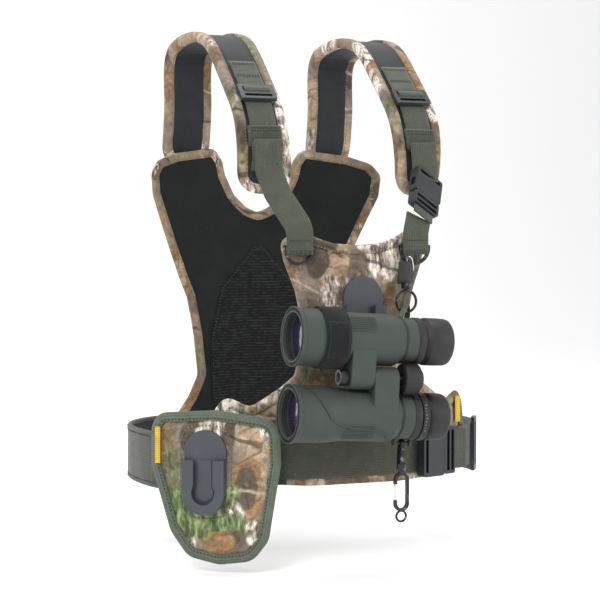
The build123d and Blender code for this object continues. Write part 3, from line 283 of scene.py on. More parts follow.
MAT = {
    "camo_fabric": camo("camo_fabric", (1.18, 1.10, 1.04), 0.35),
    "camo_hip": camo("camo_hip", (1.35, 1.32, 1.22), 0.95),
    "camo_trim": camo("camo_trim", (1.10, 0.98, 0.86), 0.3),
    "dark_lining": cloth("dark_lining", (0.0045, 0.0055, 0.0055), (0.0085, 0.0100, 0.0100),
                         1.6, 1.6, 0.03, 0.9),
    "satin": cloth("satin", (0.006, 0.007, 0.009), (0.013, 0.015, 0.019), 1.2, 1.4, 0.08, 0.6),
    "spacer_mesh": spacer(),
    "webbing_green": woven("webbing_green", (0.044, 0.049, 0.033), (0.060, 0.065, 0.046), 1.9),
    "webbing_dark": woven("webbing_dark", (0.030, 0.035, 0.022), (0.042, 0.048, 0.031), 1.9),
    "belt_grey": woven("belt_grey", (0.033, 0.037, 0.028), (0.023, 0.026, 0.020), 2.6),
    "binding_green": woven("binding_green", (0.086, 0.106, 0.077), (0.112, 0.134, 0.102), 1.8, 0.1),
    "tag_yellow": woven("tag_yellow", (0.70, 0.46, 0.035), (0.58, 0.37, 0.03), 1.8, 0.1, (0.7, 0.6, 0.3)),
    "thread_pale": cloth("thread_pale", (0.20, 0.185, 0.14), (0.14, 0.13, 0.10), 0.8, 0.3, 0.1),
    "thread_dark": cloth("thread_dark", (0.018, 0.024, 0.014), (0.034, 0.040, 0.026), 0.8, 0.3, 0.05),
    "black_strap": fuzzy("black_strap", (0.008, 0.008, 0.010)),
    "black_leather": moulded("black_leather", (0.008, 0.008, 0.008), 0.5, 500, 0.3, (0.035, 0.032, 0.03)),
    "buckle_plastic": moulded("buckle_plastic", (0.009, 0.011, 0.015), 0.42, 800, 0.1,
                              (0.026, 0.030, 0.036)),
    "receiver_plastic": moulded("receiver_plastic", (0.040, 0.047, 0.057), 0.42, 700, 0.12,
                                (0.065, 0.075, 0.088)),
    "armour_rubber": moulded("armour_rubber", (0.032, 0.041, 0.035), 0.58, 1100, 0.25,
                             (0.050, 0.060, 0.053), 0.4),
    "black_rubber": moulded("black_rubber", (0.009, 0.009, 0.010), 0.55, 900, 0.15,
                            (0.028, 0.028, 0.030), 0.45),
    "dark_metal": metal("dark_metal", (0.030, 0.030, 0.032), 0.28, 0.8),
    "silver_metal": metal("silver_metal", (0.62, 0.62, 0.61), 0.25),
    "hub_metal": metal("hub_metal", (0.30, 0.30, 0.31), 0.35),
    "lens_glass": glass("lens_glass", (0.035, 0.022, 0.055)),
    "prism_glass": glass("prism_glass", (0.35, 0.38, 0.38), 0.02),
    "mark_white": moulded("mark_white", (0.70, 0.70, 0.68), 0.6, 700, 0.05, (0.5, 0.5, 0.5)),
}


# ---------------------------------------------------------------- meshes
def piece(name, shape, material, body, replaces=(), smooth=True):
    """A mesh piece from millimetre points, riding on a CAD body; a shape is (verts, faces) or has uvs too."""
    verts, faces, *more = shape
    data = bpy.data.meshes.new(name)
    data.from_pydata([Vector(v) * MM for v in verts], [], faces)
    if more:
        layer = data.uv_layers.new(name="UVMap")
        for loop in data.loops:
            u, v = more[0][loop.vertex_index]
            layer.data[loop.index].uv = (u * MM, v * MM)
    work = bmesh.new()
    work.from_mesh(data)
    bmesh.ops.recalc_face_normals(work, faces=work.faces)
    work.to_mesh(data)
    work.free()
    for polygon in data.polygons:
        polygon.use_smooth = smooth
    obj = bpy.data.objects.new(name, data)
    bpy.context.scene.collection.objects.link(obj)
    data.materials.append(MAT[material])
    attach(obj, body)
    if replaces:
        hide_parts(*replaces)
    return obj


def merge(*parts):
    """Several (verts, faces, uvs) as one."""
    verts, faces, uvs = [], [], []
    for some_verts, some_faces, some_uvs in parts:
        base = len(verts)
        verts += some_verts
        faces += [[base + k for k in face] for face in some_faces]
        uvs += some_uvs
    return verts, faces, uvs


def rounded(points, radii, step=2.5, closed=False):
    """A dense polyline with its corners turned into arcs."""
    points = [Vector(p) for p in points]
    count = len(points)
    radii = [radii] * count if isinstance(radii, (int, float)) else [0, *radii, 0]
    line = []
    for k, corner in enumerate(points):
        if not closed and k in (0, count - 1):
            line.append(corner)
            continue
        into = (corner - points[k - 1])
        away = (points[(k + 1) % count] - corner)
        bend = into.angle(away)
        cut = min(radii[k] * math.tan(bend / 2), into.length * 0.49, away.length * 0.49)
        first, last = corner - into.normalized() * cut, corner + away.normalized() * cut
        for share in np.linspace(0, 1, max(3, int(bend * radii[k] / step) + 2)):
            mid = first.lerp(corner, share).lerp(corner.lerp(last, share), share)
            line.append(mid)
    return resample(line, step, closed)


def resample(line, step, closed=False):
    """The same line in even steps."""
    ring = line + [line[0]] if closed else line
    lengths = [0.0]
    for a, b in zip(ring, ring[1:]):
        lengths.append(lengths[-1] + (b - a).length)
    count = max(2, round(lengths[-1] / step))
    spots = np.linspace(0, lengths[-1], count + 1)[:count if closed else count + 1]
    axes = [np.interp(spots, lengths, [p[k] for p in ring]) for k in range(len(line[0]))]
    return [Vector(values) for values in zip(*axes)]


def outline(half, radius):
    """A closed outline from its +X half, listed from top to bottom."""
    ring = list(half) + [(-x, z) for x, z in reversed(half) if x > 0]
    return rounded(ring, radius, 3.0, closed=True)


def inward(ring, amount):
    """A closed line moved inward, with its directions evened so that corners don't cross."""
    count = len(ring)
    area = sum(a.x * b.y - b.x * a.y for a, b in zip(ring, ring[1:] + ring[:1]))
    turn = 1 if area > 0 else -1
    ways = []
    for k in range(count):
        along = ring[(k + 2) % count] - ring[k - 2]
        ways.append(Vector((-along.y, along.x)).normalized() * turn)
    even = [sum((ways[(k + d) % count] for d in range(-2, 3)), Vector((0, 0))).normalized()
            for k in range(count)]
    return [p + w * amount for p, w in zip(ring, even)]


def slab(ring, place, low, high, crown=0.0, edge=9.0, step=5.0, ripple=None):
    """A closed pad: the outline's inside, laid between two layers, fuller away from its edge."""
    edges = [(k, (k + 1) % len(ring)) for k in range(len(ring))]
    xs, ys = [p.x for p in ring], [p.y for p in ring]
    grid = []
    border = np.array([(p.x, p.y) for p in ring])
    row = 0
    y = min(ys) + step
    while y < max(ys):
        x = min(xs) + step * (1.0 if row % 2 else 0.5)
        while x < max(xs):
            if np.hypot(*(border - (x, y)).T).min() > step * 0.6:
                grid.append(Vector((x, y)))
            x += step
        y += step * 0.87
        row += 1
    flat, _edges, faces, *_origins = delaunay_2d_cdt(list(ring) + grid, edges, [], 1, 1e-4)
    spots = np.array([(p.x, p.y) for p in flat])
    near = np.array([np.hypot(*(border - q).T).min() for q in spots])
    full = 1 - np.exp(-near / edge)
    count = len(flat)
    top, bottom, uvs = [], [], []
    for k, (x, y) in enumerate(spots):
        lift = crown * full[k] + (ripple(x, y) * full[k] if ripple else 0)
        top.append(place(x, y, high + lift))
        bottom.append(place(x, y, low))
        uvs.append((x, y))
    shell = [list(f) for f in faces] + [[count + k for k in reversed(f)] for f in faces]
    used = {}
    for face in faces:
        for a, b in zip(face, [*face[1:], face[0]]):
            used[(a, b)] = True
    for a, b in list(used):
        if (b, a) not in used:
            shell.append([b, a, count + a, count + b])
    return top + bottom, shell, uvs + uvs


def edging(ring, place, low, high, width, proud=0.6, pucker=0.25):
    """Binding tape folded over the edge of a pad, a little puckered along its stitching."""
    count = len(ring)
    profile = [(width, high - 0.2), (width - 0.7, high + proud), (width * 0.5, high + proud + 0.35),
               (1.3, high + proud * 0.6), (0.0, high - (high - low) * 0.3), (0.0, low + (high - low) * 0.3),
               (1.3, low - proud * 0.6), (width * 0.5, low - proud), (width - 0.7, low - proud),
               (width, low + 0.2)]
    rings = [(inward(ring, depth), height) for depth, height in profile]
    verts, faces, uvs = [], [], []
    sides = len(profile)
    for k in range(count):
        wave = pucker * math.sin(k * 2.1) * math.sin(k * 0.37)
        for j, (line, height) in enumerate(rings):
            lift = wave if 0 < j < 4 else 0
            verts.append(place(line[k].x, line[k].y, height + lift))
            uvs.append((k * 3.0, j * width / 4))
    for k in range(count):
        after = (k + 1) % count
        for j in range(sides):
            other = (j + 1) % sides
            faces.append([k * sides + j, after * sides + j, after * sides + other, k * sides + other])
    return verts, faces, uvs


def tape(place, u_range, v_range, low, high, step=3.0, sag=0.0):
    """Flat webbing with rounded selvedges, laid along u."""
    (u0, u1), (v0, v1) = u_range, v_range
    rows = max(2, int(abs(u1 - u0) / step) + 1)
    us = np.linspace(u0, u1, rows)
    inset = min(0.8, (v1 - v0) * 0.2)
    inner = np.linspace(v0 + inset, v1 - inset, max(3, int((v1 - v0) / 4)))[1:-1]
    lanes = [v0, v0 + inset, *inner, v1 - inset, v1]
    middle, half = (low + high) / 2, (high - low) / 2
    verts, faces, uvs = [], [], []
    loop = 2 * len(lanes)
    for u in us:
        for side in (1, -1):
            for k, v in enumerate(lanes if side > 0 else lanes[::-1]):
                share = 0.45 if k in (0, len(lanes) - 1) else 1.0
                dip = sag * math.sin(u * 0.21 + v * 0.05)
                verts.append(place(u, v, middle + side * half * share + dip))
                uvs.append((u, v))
    for r in range(rows - 1):
        for k in range(loop):
            after = (k + 1) % loop
            faces.append([r * loop + k, r * loop + after, (r + 1) * loop + after, (r + 1) * loop + k])
    for base in (0, (rows - 1) * loop):
        for k in range(len(lanes) - 1):
            faces.append([base + k, base + k + 1, base + loop - 2 - k, base + loop - 1 - k])
    return verts, faces, uvs


def stitches(place, line, height, pitch=3.2, length=2.1, thick=0.55):
    """A row of stitches: small spindles along a line in a pad's own coordinates."""
    verts, faces, uvs = [], [], []
    dense = resample([Vector(p) for p in line], pitch)
    for a, b in zip(dense, dense[1:]):
        first, last = a, a + (b - a) * (length / pitch)
        ends = [place(first.x, first.y, height), place(last.x, last.y, height)]
        above = place(first.x, first.y, height + 1) - ends[0]
        along = (ends[1] - ends[0])
        if along.length < 1e-6:
            continue
        side = along.cross(above).normalized() * thick
        rise = above.normalized() * thick * 0.7
        base = len(verts)
        mids = [ends[0].lerp(ends[1], t) for t in (0.2, 0.8)]
        verts.append(ends[0] - rise * 0.3)
        for mid in mids:
            verts += [mid + side, mid + rise, mid - side, mid - rise]
        verts.append(ends[1] - rise * 0.3)
        faces += [[base, base + 1 + k, base + 1 + (k + 1) % 4] for k in range(4)]
        faces += [[base + 1 + k, base + 5 + k, base + 5 + (k + 1) % 4, base + 1 + (k + 1) % 4]
                  for k in range(4)]
        faces += [[base + 9, base + 5 + (k + 1) % 4, base + 5 + k] for k in range(4)]
        uvs += [(0, 0)] * 10
    return verts, faces, uvs


def row_across(place, u, half, height):
    """A short sewn row across webbing."""
    return stitches(place, [(u, -half), (u, half)], height, 2.6, 2.0)


def seam_round(place, ring, depth, height, pitch=3.2):
    """Stitches all the way round a pad, this far in from its edge."""
    seam = inward(ring, depth)
    return stitches(place, seam + seam[:1], height, pitch)


def puffed(obj, voxel, pressure, cap):
    """Remeshes a pad and lets air pressure fill it, with each point's movement capped."""
    remesh = obj.modifiers.new("voxels", "REMESH")
    remesh.mode, remesh.voxel_size, remesh.use_smooth_shade = "VOXEL", voxel * MM, True
    bake(obj)
    rest = np.array([v.co for v in obj.data.vertices])
    sim = obj.modifiers.new("air", "CLOTH")
    sim.settings.use_pressure = True
    sim.settings.uniform_pressure_force = pressure
    sim.settings.effector_weights.gravity = 0
    sim.settings.tension_stiffness = sim.settings.compression_stiffness = 25
    sim.point_cache.frame_start, sim.point_cache.frame_end = 1, AIR_FRAMES
    for number in range(1, AIR_FRAMES + 1):
        bpy.context.scene.frame_set(number)
    moved = obj.evaluated_get(bpy.context.evaluated_depsgraph_get())
    swollen = np.array([v.co for v in moved.data.vertices])
    step = swollen - rest
    size = np.linalg.norm(step, axis=1, keepdims=True)
    step *= np.minimum(1, cap * MM / np.maximum(size, 1e-9))
    obj.modifiers.remove(sim)
    bpy.context.scene.frame_set(1)
    for vertex, co in zip(obj.data.vertices, rest + step):
        vertex.co = co
    obj.modifiers.new("finer", "SUBSURF").levels = 1
    bake(obj)
    for polygon in obj.data.polygons:
        polygon.use_smooth = True


def bake(obj):
    """Applies every modifier on a piece."""
    finished = bpy.data.meshes.new_from_object(obj.evaluated_get(bpy.context.evaluated_depsgraph_get()))
    obj.modifiers.clear()
    obj.data = finished


# ---------------------------------------------------------------- where soft layers lie
HALF_WIDTH, HALF_DEPTH, POWER = 152.0, 116.0, 2.5


def oval_at(angle, layer):
    """A point on the torso, this far outside it; the angle is 0 in front and grows towards +X."""
    c, s = math.sin(angle), -math.cos(angle)
    share = 2 / POWER
    return Vector((math.copysign(abs(c) ** share, c) * (HALF_WIDTH + layer),
                   math.copysign(abs(s) ** share, s) * (HALF_DEPTH + layer), 0))


ANGLES = np.linspace(-math.pi, math.pi, 2881)
AROUND = np.concatenate([[0], np.cumsum([(oval_at(b, 6) - oval_at(a, 6)).length
                                         for a, b in zip(ANGLES, ANGLES[1:])])])
AROUND -= AROUND[1440]


def belt_place(s, z, layer):
    """Round the waist: s is the distance from the front's middle, towards +X."""
    return oval_at(float(np.interp(s, AROUND, ANGLES)), layer) + Vector((0, 0, z))


def s_at(x):
    """How far round the waist a place in front is."""
    points = np.array([oval_at(a, 6)[:2] for a in ANGLES[::4]])
    fits = np.where(points[:, 1] < 0, np.abs(points[:, 0] - x), 1e9)
    return float(AROUND[::4][int(fits.argmin())])


def depth_at(x, layer):
    share = min(1.0, abs(x) / (HALF_WIDTH + layer))
    return (HALF_DEPTH + layer) * (1 - share ** POWER) ** (1 / POWER)


def chest_place(x, z, layer):
    return Vector((x, -depth_at(x, layer), z))


def back_place(x, z, layer):
    return Vector((x, depth_at(x, layer), z))


PAD_X = 76.0
PAD_LINE = rounded([(112, 288.5), (117, 384), (45, 393), (-5, 384), (-84, 310), (-94, 270), (-89, 237)],
                   [18, 60, 50, 40, 60], PAD_STEP)
for _ in range(3):
    even = [sum((PAD_LINE[k + d] for d in range(-9, 10)), Vector((0, 0))) / 19
            for k in range(10, len(PAD_LINE) - 10)]
    PAD_LINE = PAD_LINE[:10] + even + PAD_LINE[-10:]
PAD_LINE = resample(PAD_LINE, PAD_STEP)
PAD_LENGTH = PAD_STEP * (len(PAD_LINE) - 1)


def pad_s(z):
    """How far along the pad its front is at this height."""
    front = [(abs(p.y - z), k) for k, p in enumerate(PAD_LINE) if p.x < -20]
    return min(front)[1] * PAD_LENGTH / (len(PAD_LINE) - 1)


PAD_TWIST_FROM = pad_s(305)


def pad_place(side):
    """Along a shoulder pad: s from its back end, w towards the arm, and the layer out from its face."""
    def place(s, w, layer):
        spot = min(max(s / PAD_LENGTH, 0), 1) * (len(PAD_LINE) - 1)
        k = min(int(spot), len(PAD_LINE) - 2)
        flat = PAD_LINE[k].lerp(PAD_LINE[k + 1], spot - k)
        ahead, behind = PAD_LINE[min(k + 4, len(PAD_LINE) - 1)], PAD_LINE[max(k - 3, 0)]
        along = (ahead - behind).normalized()
        beyond = s - min(max(s, 0), PAD_LENGTH)
        layer += 13.5 * (1 - min(1, max(0, s + 16) / 60)) ** 1.5
        out = Vector((0, along.y, -along.x))
        twist = math.radians(20) * min(1, max(0, (s - PAD_TWIST_FROM) / (PAD_LENGTH - PAD_TWIST_FROM))) ** 1.2
        across = Vector((side * math.cos(twist), 0, 0)) - out * math.sin(twist)
        face = out * math.cos(twist) + Vector((side * math.sin(twist), 0, 0))
        return (Vector((side * PAD_X, flat.x, flat.y)) + Vector((0, along.x, along.y)) * beyond
                + across * w + face * layer)
    return place


HIP = math.radians(36.9)
HIP_ALONG = Vector((math.cos(HIP), -math.sin(HIP), 0))
HIP_OUT = Vector((-math.sin(HIP), -math.cos(HIP), 0))
HIP_SHIFT = -127.0 * HIP_ALONG.x - 104.0 * HIP_ALONG.y
HIP_BACK = 156.2


def hip_place(u, v, layer):
    """On the holster: u to the viewer's right, v up, and the layer out from its back."""
    return HIP_ALONG * (HIP_SHIFT + u) + HIP_OUT * (HIP_BACK + layer) + Vector((0, 0, v))


def strip_place(points, across):
    """Along a strap through these points: u its length, v across it, and the layer off its face."""
    line = rounded(points, 6, 1.0) if len(points) > 2 else resample([Vector(p) for p in points], 1.0)
    across = Vector(across).normalized()

    def place(u, v, layer):
        spot = min(max(u, 0), len(line) - 1.001)
        k = int(spot)
        here = line[k].lerp(line[k + 1], spot - k)
        along = (line[min(k + 2, len(line) - 1)] - line[max(k - 2, 0)]).normalized()
        out = along.cross(across).normalized()
        return here + (out.cross(along)).normalized() * v + out * layer
    return place, len(line) - 1


# ---------------------------------------------------------------- chest and back panels
CHEST_HALF = [(0, 192.6), (22, 194), (38, 199), (50, 206), (70, 197), (67, 179), (57, 153), (50, 120),
              (57, 79), (70, 68), (95, 51), (113, 61), (121, 49), (125.5, 21), (124, 2), (113, -8),
              (89, -16), (43, -18.6), (0, -18.4)]
BACK_HALF = [(0, 224), (12, 229), (25, 241), (35, 261), (38, 275), (47, 287), (91, 281), (113, 273),
             (121, 261), (119, 240), (105, 206), (87, 162), (77, 140), (69.5, 103), (65, 64), (75, 44),
             (87, 29), (104, 2), (98, -18), (60, -25), (0, -25)]
MESH_HALF = [(0, 196), (40, 150), (52, 100), (50, 30), (0, 20)]
BINDING = 8.5


def panel(name, half, place, thick, trim, ripple):
    """A padded panel with a face cloth, a lining, folded binding and its stitching."""
    ring = outline(half, 9)
    field = inward(ring, BINDING * 0.6)
    body = piece(name, slab(field, place, thick * 0.45, thick - 0.8, 0.9, 10, 5, ripple)[:2], "camo_fabric",
                 "harness", [name])
    piece(name + "_lining", slab(field, place, 0.1, thick * 0.5, 0, 9, 7)[:2], "dark_lining", "harness")
    binding = name.replace("panel", "binding")
    piece(binding, edging(ring, place, 0.0, thick, BINDING), trim, "harness", [binding])
    for tag, height in (("front", thick + 0.75), ("rear", -0.75)):
        piece(f"{name}_stitches_{tag}", seam_round(place, ring, BINDING - 1.8, height)[:2], "thread_pale",
              "harness")


panel("chest_panel", CHEST_HALF, chest_place, 4.0, "camo_fabric",
      lambda x, z: 0.35 * math.sin(x * 0.11 + z * 0.05) * math.sin(z * 0.09))
panel("back_panel", BACK_HALF, back_place, 6.0, "camo_trim",
      lambda x, z: 0.5 * math.sin(x * 0.09) * math.sin(z * 0.06))

mesh_ring = outline(MESH_HALF, 12)
mesh = slab(mesh_ring, back_place, -0.2, -0.9, -1.1, 6, 5,
            lambda x, z: 0.35 * math.sin(x * 0.35) * math.sin(z * 0.31))
piece("back_mesh", mesh[:2], "spacer_mesh", "harness", ["back_mesh"])
piece("back_mesh_stitches", seam_round(back_place, mesh_ring, 2, -1.5, 3.4)[:2], "thread_dark", "harness")


# ---------------------------------------------------------------- shoulder pads
def pad_ring(half, low, high, corner):
    """The pad's outline in its own coordinates: square at the back, round at the front."""
    return rounded([(low, -half), (high, -half), (high, half), (low, half)], corner, 3.0, closed=True)


webbings, keepers, bindings, pad_seams = [], [], [], []
S_BACK = next(k for k, p in enumerate(PAD_LINE) if p.x < -34) * PAD_STEP
KEEPER_FROM, KEEPER_TO, FLAP_END = pad_s(296), pad_s(278), pad_s(258)
LOCK_FROM, LOCK_REACH = pad_s(327) - 9, 14.5
LIFT_AT, LIFT = zip((0, 2.4), (3, 3.0), (6, 5.6), (8, 7.0), (11, 7.2), (13, 6.4), (LOCK_REACH, 4.6))
for side, name in ((-1, "right"), (1, "left")):
    place = pad_place(side)
    core = pad_ring(19.0, -14, PAD_LENGTH - 6, 15)
    pad = piece(f"shoulder_pad_{name}", slab(core, place, -7.6, -1.3, 0, 9, 5)[:2], "satin", "harness",
                [f"shoulder_pad_{name}"])
    puffed(pad, 3.5, 4.0, 1.3)
    rim = pad_ring(24.0, -18, PAD_LENGTH, 21)
    bindings.append(edging(rim, place, -8.0, 0.0, 9.0, 0.5))
    pad_seams += [seam_round(place, rim, 7.2, height) for height in (0.55, -8.6)]
    webbings.append(tape(place, (S_BACK, PAD_LENGTH - 40), (-STRAP_HALF, STRAP_HALF), 0.7, 2.2, sag=0.1))
    keepers.append(tape(place, (KEEPER_FROM, KEEPER_TO), (-15.5, 15.5), 2.6, 4.2, 2.0))
    tacks = [row_across(place, s, 13, 4.3) for s in (KEEPER_FROM + 2, KEEPER_FROM + 4.5, KEEPER_TO - 2)]
    tacks += [row_across(place, S_BACK + d, 11, 2.3) for d in (3, 5, 20, 22)]
    piece(f"shoulder_tacks_{name}", merge(*tacks)[:2], "thread_dark", "harness")
    webbings.append(tape(place, (KEEPER_TO - 4, FLAP_END), (-STRAP_HALF, STRAP_HALF), 4.3, 5.3))
    webbings.append(tape(place, (FLAP_END - 8, FLAP_END), (-12.9, 12.9), 5.2, 6.4, 2.0))
    edge = [row_across(place, FLAP_END - d, 11, 6.5) for d in (2, 6)]
    piece(f"flap_stitches_{name}", merge(*edge)[:2], "thread_dark", "harness")

    def over_bar(u, v, layer, place=place):
        """Webbing that rises over the ladder lock's upper bar."""
        return place(LOCK_FROM + u, v, layer + float(np.interp(u, LIFT_AT, LIFT)))

    piece(f"lock_webbing_{name}", tape(over_bar, (0, LOCK_REACH), (-12.3, 12.3), 0, 1.1, 1.0),
          "webbing_green", f"ladder_lock_{name}")
piece("shoulder_bindings", merge(*bindings)[:2], "camo_fabric", "harness", ["shoulder_bindings"])
piece("shoulder_pad_stitches", merge(*pad_seams)[:2], "thread_pale", "harness")
piece("shoulder_webbing", merge(*webbings), "webbing_green", "harness", ["shoulder_webbing"])


# ---------------------------------------------------------------- waist
FRONT_END, HIP_END, CLIP_END, GLIDE_END = s_at(60), s_at(-118), s_at(106), s_at(140)
SIDE_END = float(np.interp(math.pi * 0.45, ANGLES, AROUND))
runs = [((HIP_END, FRONT_END), 0.25), ((CLIP_END, GLIDE_END), 0.15), ((GLIDE_END, SIDE_END), 0.15)]
runs = [tape(belt_place, ends, WAIST_HEIGHTS, *WEB_LAYERS, 3, sag) for ends, sag in runs]
piece("waist_webbing", merge(*runs), "webbing_green", "harness", ["waist_webbing"])
near, far = s_at(-76), s_at(-66)
keepers.append(tape(belt_place, (near, far), (-16, 30), 6.8, 8.3, 2))
piece("webbing_keepers", merge(*keepers), "webbing_dark", "harness", ["webbing_keepers"])
tacks = [stitches(belt_place, [(s, z), (s, z + 3)], 8.4, 1.2, 1.0, 0.5)
         for s in (near + 2, near + 4, far - 2, far - 4) for z in (-15, 26)]
tacks += [stitches(belt_place, [(s, -10), (s, 24)], 6.5, 2.6, 2.0)
          for s in (HIP_END + 4, HIP_END + 7, FRONT_END - 3)]
piece("waist_tacks", merge(*tacks)[:2], "thread_dark", "harness")

LAP = float(AROUND[-1] - AROUND[0])
BELT_FROM = next(float(s) for s, a in zip(AROUND, ANGLES) if a > 0 and oval_at(a, 10).y > -45)
BELT_TO = float(s_at(-80)) + LAP


def belt_wrap(s, z, layer):
    """The belt runs past the middle of the back, so its distance starts again there."""
    return belt_place((s - AROUND[0]) % LAP + AROUND[0], z, layer)


BELT_LOW, BELT_HIGH = BELT_HEIGHTS
belt_ring = rounded([(BELT_FROM, BELT_LOW), (BELT_TO, BELT_LOW), (BELT_TO, BELT_HIGH), (BELT_FROM, BELT_HIGH)],
                    3, 3.0, closed=True)
belt = piece("waist_belt", slab(inward(belt_ring, 3), belt_wrap, 8.4, 10.4, 0.4, 6, 6)[:2], "satin", "harness",
             ["waist_belt"])
piece("waist_belt_face", tape(belt_wrap, (BELT_FROM + 1, BELT_TO - 1), (-22.5, 24.5), 10.6, 12.1, 4, 0.15),
      "belt_grey", "harness")
piece("waist_belt_edge", edging(belt_ring, belt_wrap, 8.4, 12.0, 4.0, 0.3, 0.1), "webbing_dark", "harness")
rows = [stitches(belt_wrap, [(BELT_FROM + 4, z), (BELT_TO - 4, z)], 12.2) for z in (-19.5, 21.5)]
piece("waist_belt_stitches", merge(*rows)[:2], "thread_dark", "harness")
piece("wing_tag", tape(chest_place, (108, 116), (30, 54), 5.0, 5.8, 2), "tag_yellow", "harness", ["wing_tag"])


# ---------------------------------------------------------------- straps to the chest, and buckle tails
def strap(name, points, across, thick, replaced=()):
    """Webbing laid along these points."""
    place, length = strip_place(points, across)
    piece(name, tape(place, (0, length), (-STRAP_HALF, STRAP_HALF), 0.0, thick, 2.0, 0.1), "webbing_green",
          "harness", replaced)
    return place


# the strap's lower end clears the D-ring's bar, with the clip's wall and a gap on each side of it
RING_SIDE = -depth_at(40.9, 4.6) - 0.3 - 2.6 - 0.3 - 0.1
STRAP_TOP = (76, -97.2, 285)
for side, name in ((-1, "right"), (1, "left")):
    points = [(side * 56, RING_SIDE, 184), (side * 56, RING_SIDE, 203.5), (side * 58, -121.3, 210.5)]
    if side < 0:
        points += [(-70, -105.5, 237), (-75.6, -98.5, 258), (-76, *STRAP_TOP[1:])]
    else:
        points += [(61.2, -117.0, 217.0)]
    place = strap(f"chest_strap_{name}", points, (-1, 0, 0.35 * side), 1.5, [f"chest_strap_{name}"])
    rows = [row_across(place, d, 10.5, 1.6) for d in (1.6, 3.4, 12.5)]
    piece(f"chest_strap_tacks_{name}", merge(*rows)[:2], "thread_dark", "harness")
strap("shoulder_buckle_lead", [(77.2, -101.6, 249.0), (77.0, -99.4, 258), STRAP_TOP], (-1, 0, 0.2), 1.4)


# ---------------------------------------------------------------- holster
HOLSTER = [(-58, 36), (-51, 47), (0, 50), (48, 44), (57, 34), (58, 4), (47, -62), (33, -80), (3, -84),
           (-25, -78), (-41, -56), (-58, 1)]
holster_ring = rounded(HOLSTER, 18, 3.0, closed=True)
holster_pad = piece("holster_pad", slab(inward(holster_ring, 5), hip_place, 0.6, 5.0, 0, 9, 6)[:2], "camo_hip",
                    "holster", ["holster_pad"])
puffed(holster_pad, 3.2, 4.0, 1.3)
piece("holster_binding", edging(holster_ring, hip_place, 0.0, 6.4, 8.5), "binding_green", "holster",
      ["holster_binding"])
rows = [seam_round(hip_place, holster_ring, 6.6, height) for height in (7.15, -0.75)]
piece("holster_stitches", merge(*rows)[:2], "thread_dark", "holster")
piece("holster_tag", tape(hip_place, (-54, -49), (3, 35), 7.3, 8.1, 2), "tag_yellow", "holster",
      ["holster_tag"])
piece("holster_hanger", tape(lambda u, v, h: hip_place(v, u, h), (-24, 43), (-19, 19), -2.1, -1.1, 3, 0.1),
      "webbing_green", "harness", ["holster_hanger"])
ring = rounded([(-27, -40), (11, -40), (11, 33), (-27, 33)], 14, 3.0, closed=True)
piece("holster_receiver_stitches", seam_round(hip_place, ring, -4, 6.9)[:2], "thread_pale", "holster")


# ---------------------------------------------------------------- binocular
TILT = math.radians(3.3)
ALONG = Vector((math.cos(TILT), 0, -math.sin(TILT)))
UP = Vector((math.sin(TILT), 0, math.cos(TILT)))
AWAY = Vector((0, -1, 0))
UPPER = Vector((-82.4, -168.0, 111.2 + 86.4 * math.tan(TILT)))
LOWER = UPPER - UP * 65.0
HINGE = UPPER - UP * 32.5 + AWAY * 10.0


def barrel_place(start):
    """Round a barrel: s along it, the turn in degrees from straight out, and the radius."""
    def place(s, turn, radius):
        turn = math.radians(turn)
        return start + ALONG * s + (AWAY * math.cos(turn) + UP * math.sin(turn)) * radius
    return place


def lathe(start, profile, sides=96, dents=None):
    """A turned shape from a closed profile of (distance along, radius), with dents(distance, turn)."""
    place = barrel_place(start)
    verts, faces, uvs = [], [], []
    count = len(profile)
    for k in range(sides):
        for s, radius in profile:
            turn = 360 * k / sides
            verts.append(place(s, turn, radius + (dents(s, turn) if dents else 0)))
            uvs.append((s, turn * 0.4))
    for k in range(sides):
        after = (k + 1) % sides
        for j in range(count):
            other = (j + 1) % count
            faces.append([k * count + j, after * count + j, after * count + other, k * count + other])
    return verts, faces, uvs


def skin(start, s_range, turns, low, high, ripple, steps):
    """A raised patch on a barrel, with a rippled top and a soft edge."""
    place = barrel_place(start)
    verts, faces, uvs = [], [], []
    nu, nv = steps
    for layer in (0, 1):
        for i in range(nu + 1):
            for j in range(nv + 1):
                a, b = i / nu, j / nv
                s = s_range[0] + (s_range[1] - s_range[0]) * a
                turn = turns[0] + (turns[1] - turns[0]) * b
                edge = min(1, 8 * min(a, 1 - a)) * min(1, 8 * min(b, 1 - b))
                rise = low if layer == 0 else low + (high - low) * edge ** 0.4 + ripple(s, turn) * edge
                verts.append(place(s, turn, rise))
                uvs.append((s, turn * 0.4))

    def at(layer, i, j):
        return (layer * (nu + 1) + i) * (nv + 1) + j

    for i in range(nu):
        for j in range(nv):
            for layer in (0, 1):
                faces.append([at(layer, i, j), at(layer, i + 1, j), at(layer, i + 1, j + 1),
                              at(layer, i, j + 1)])
    for i in range(nu):
        for j in (0, nv):
            faces.append([at(0, i, j), at(0, i + 1, j), at(1, i + 1, j), at(1, i, j)])
    for j in range(nv):
        for i in (0, nu):
            faces.append([at(0, i, j), at(0, i, j + 1), at(1, i, j + 1), at(1, i, j)])
    return verts, faces, uvs


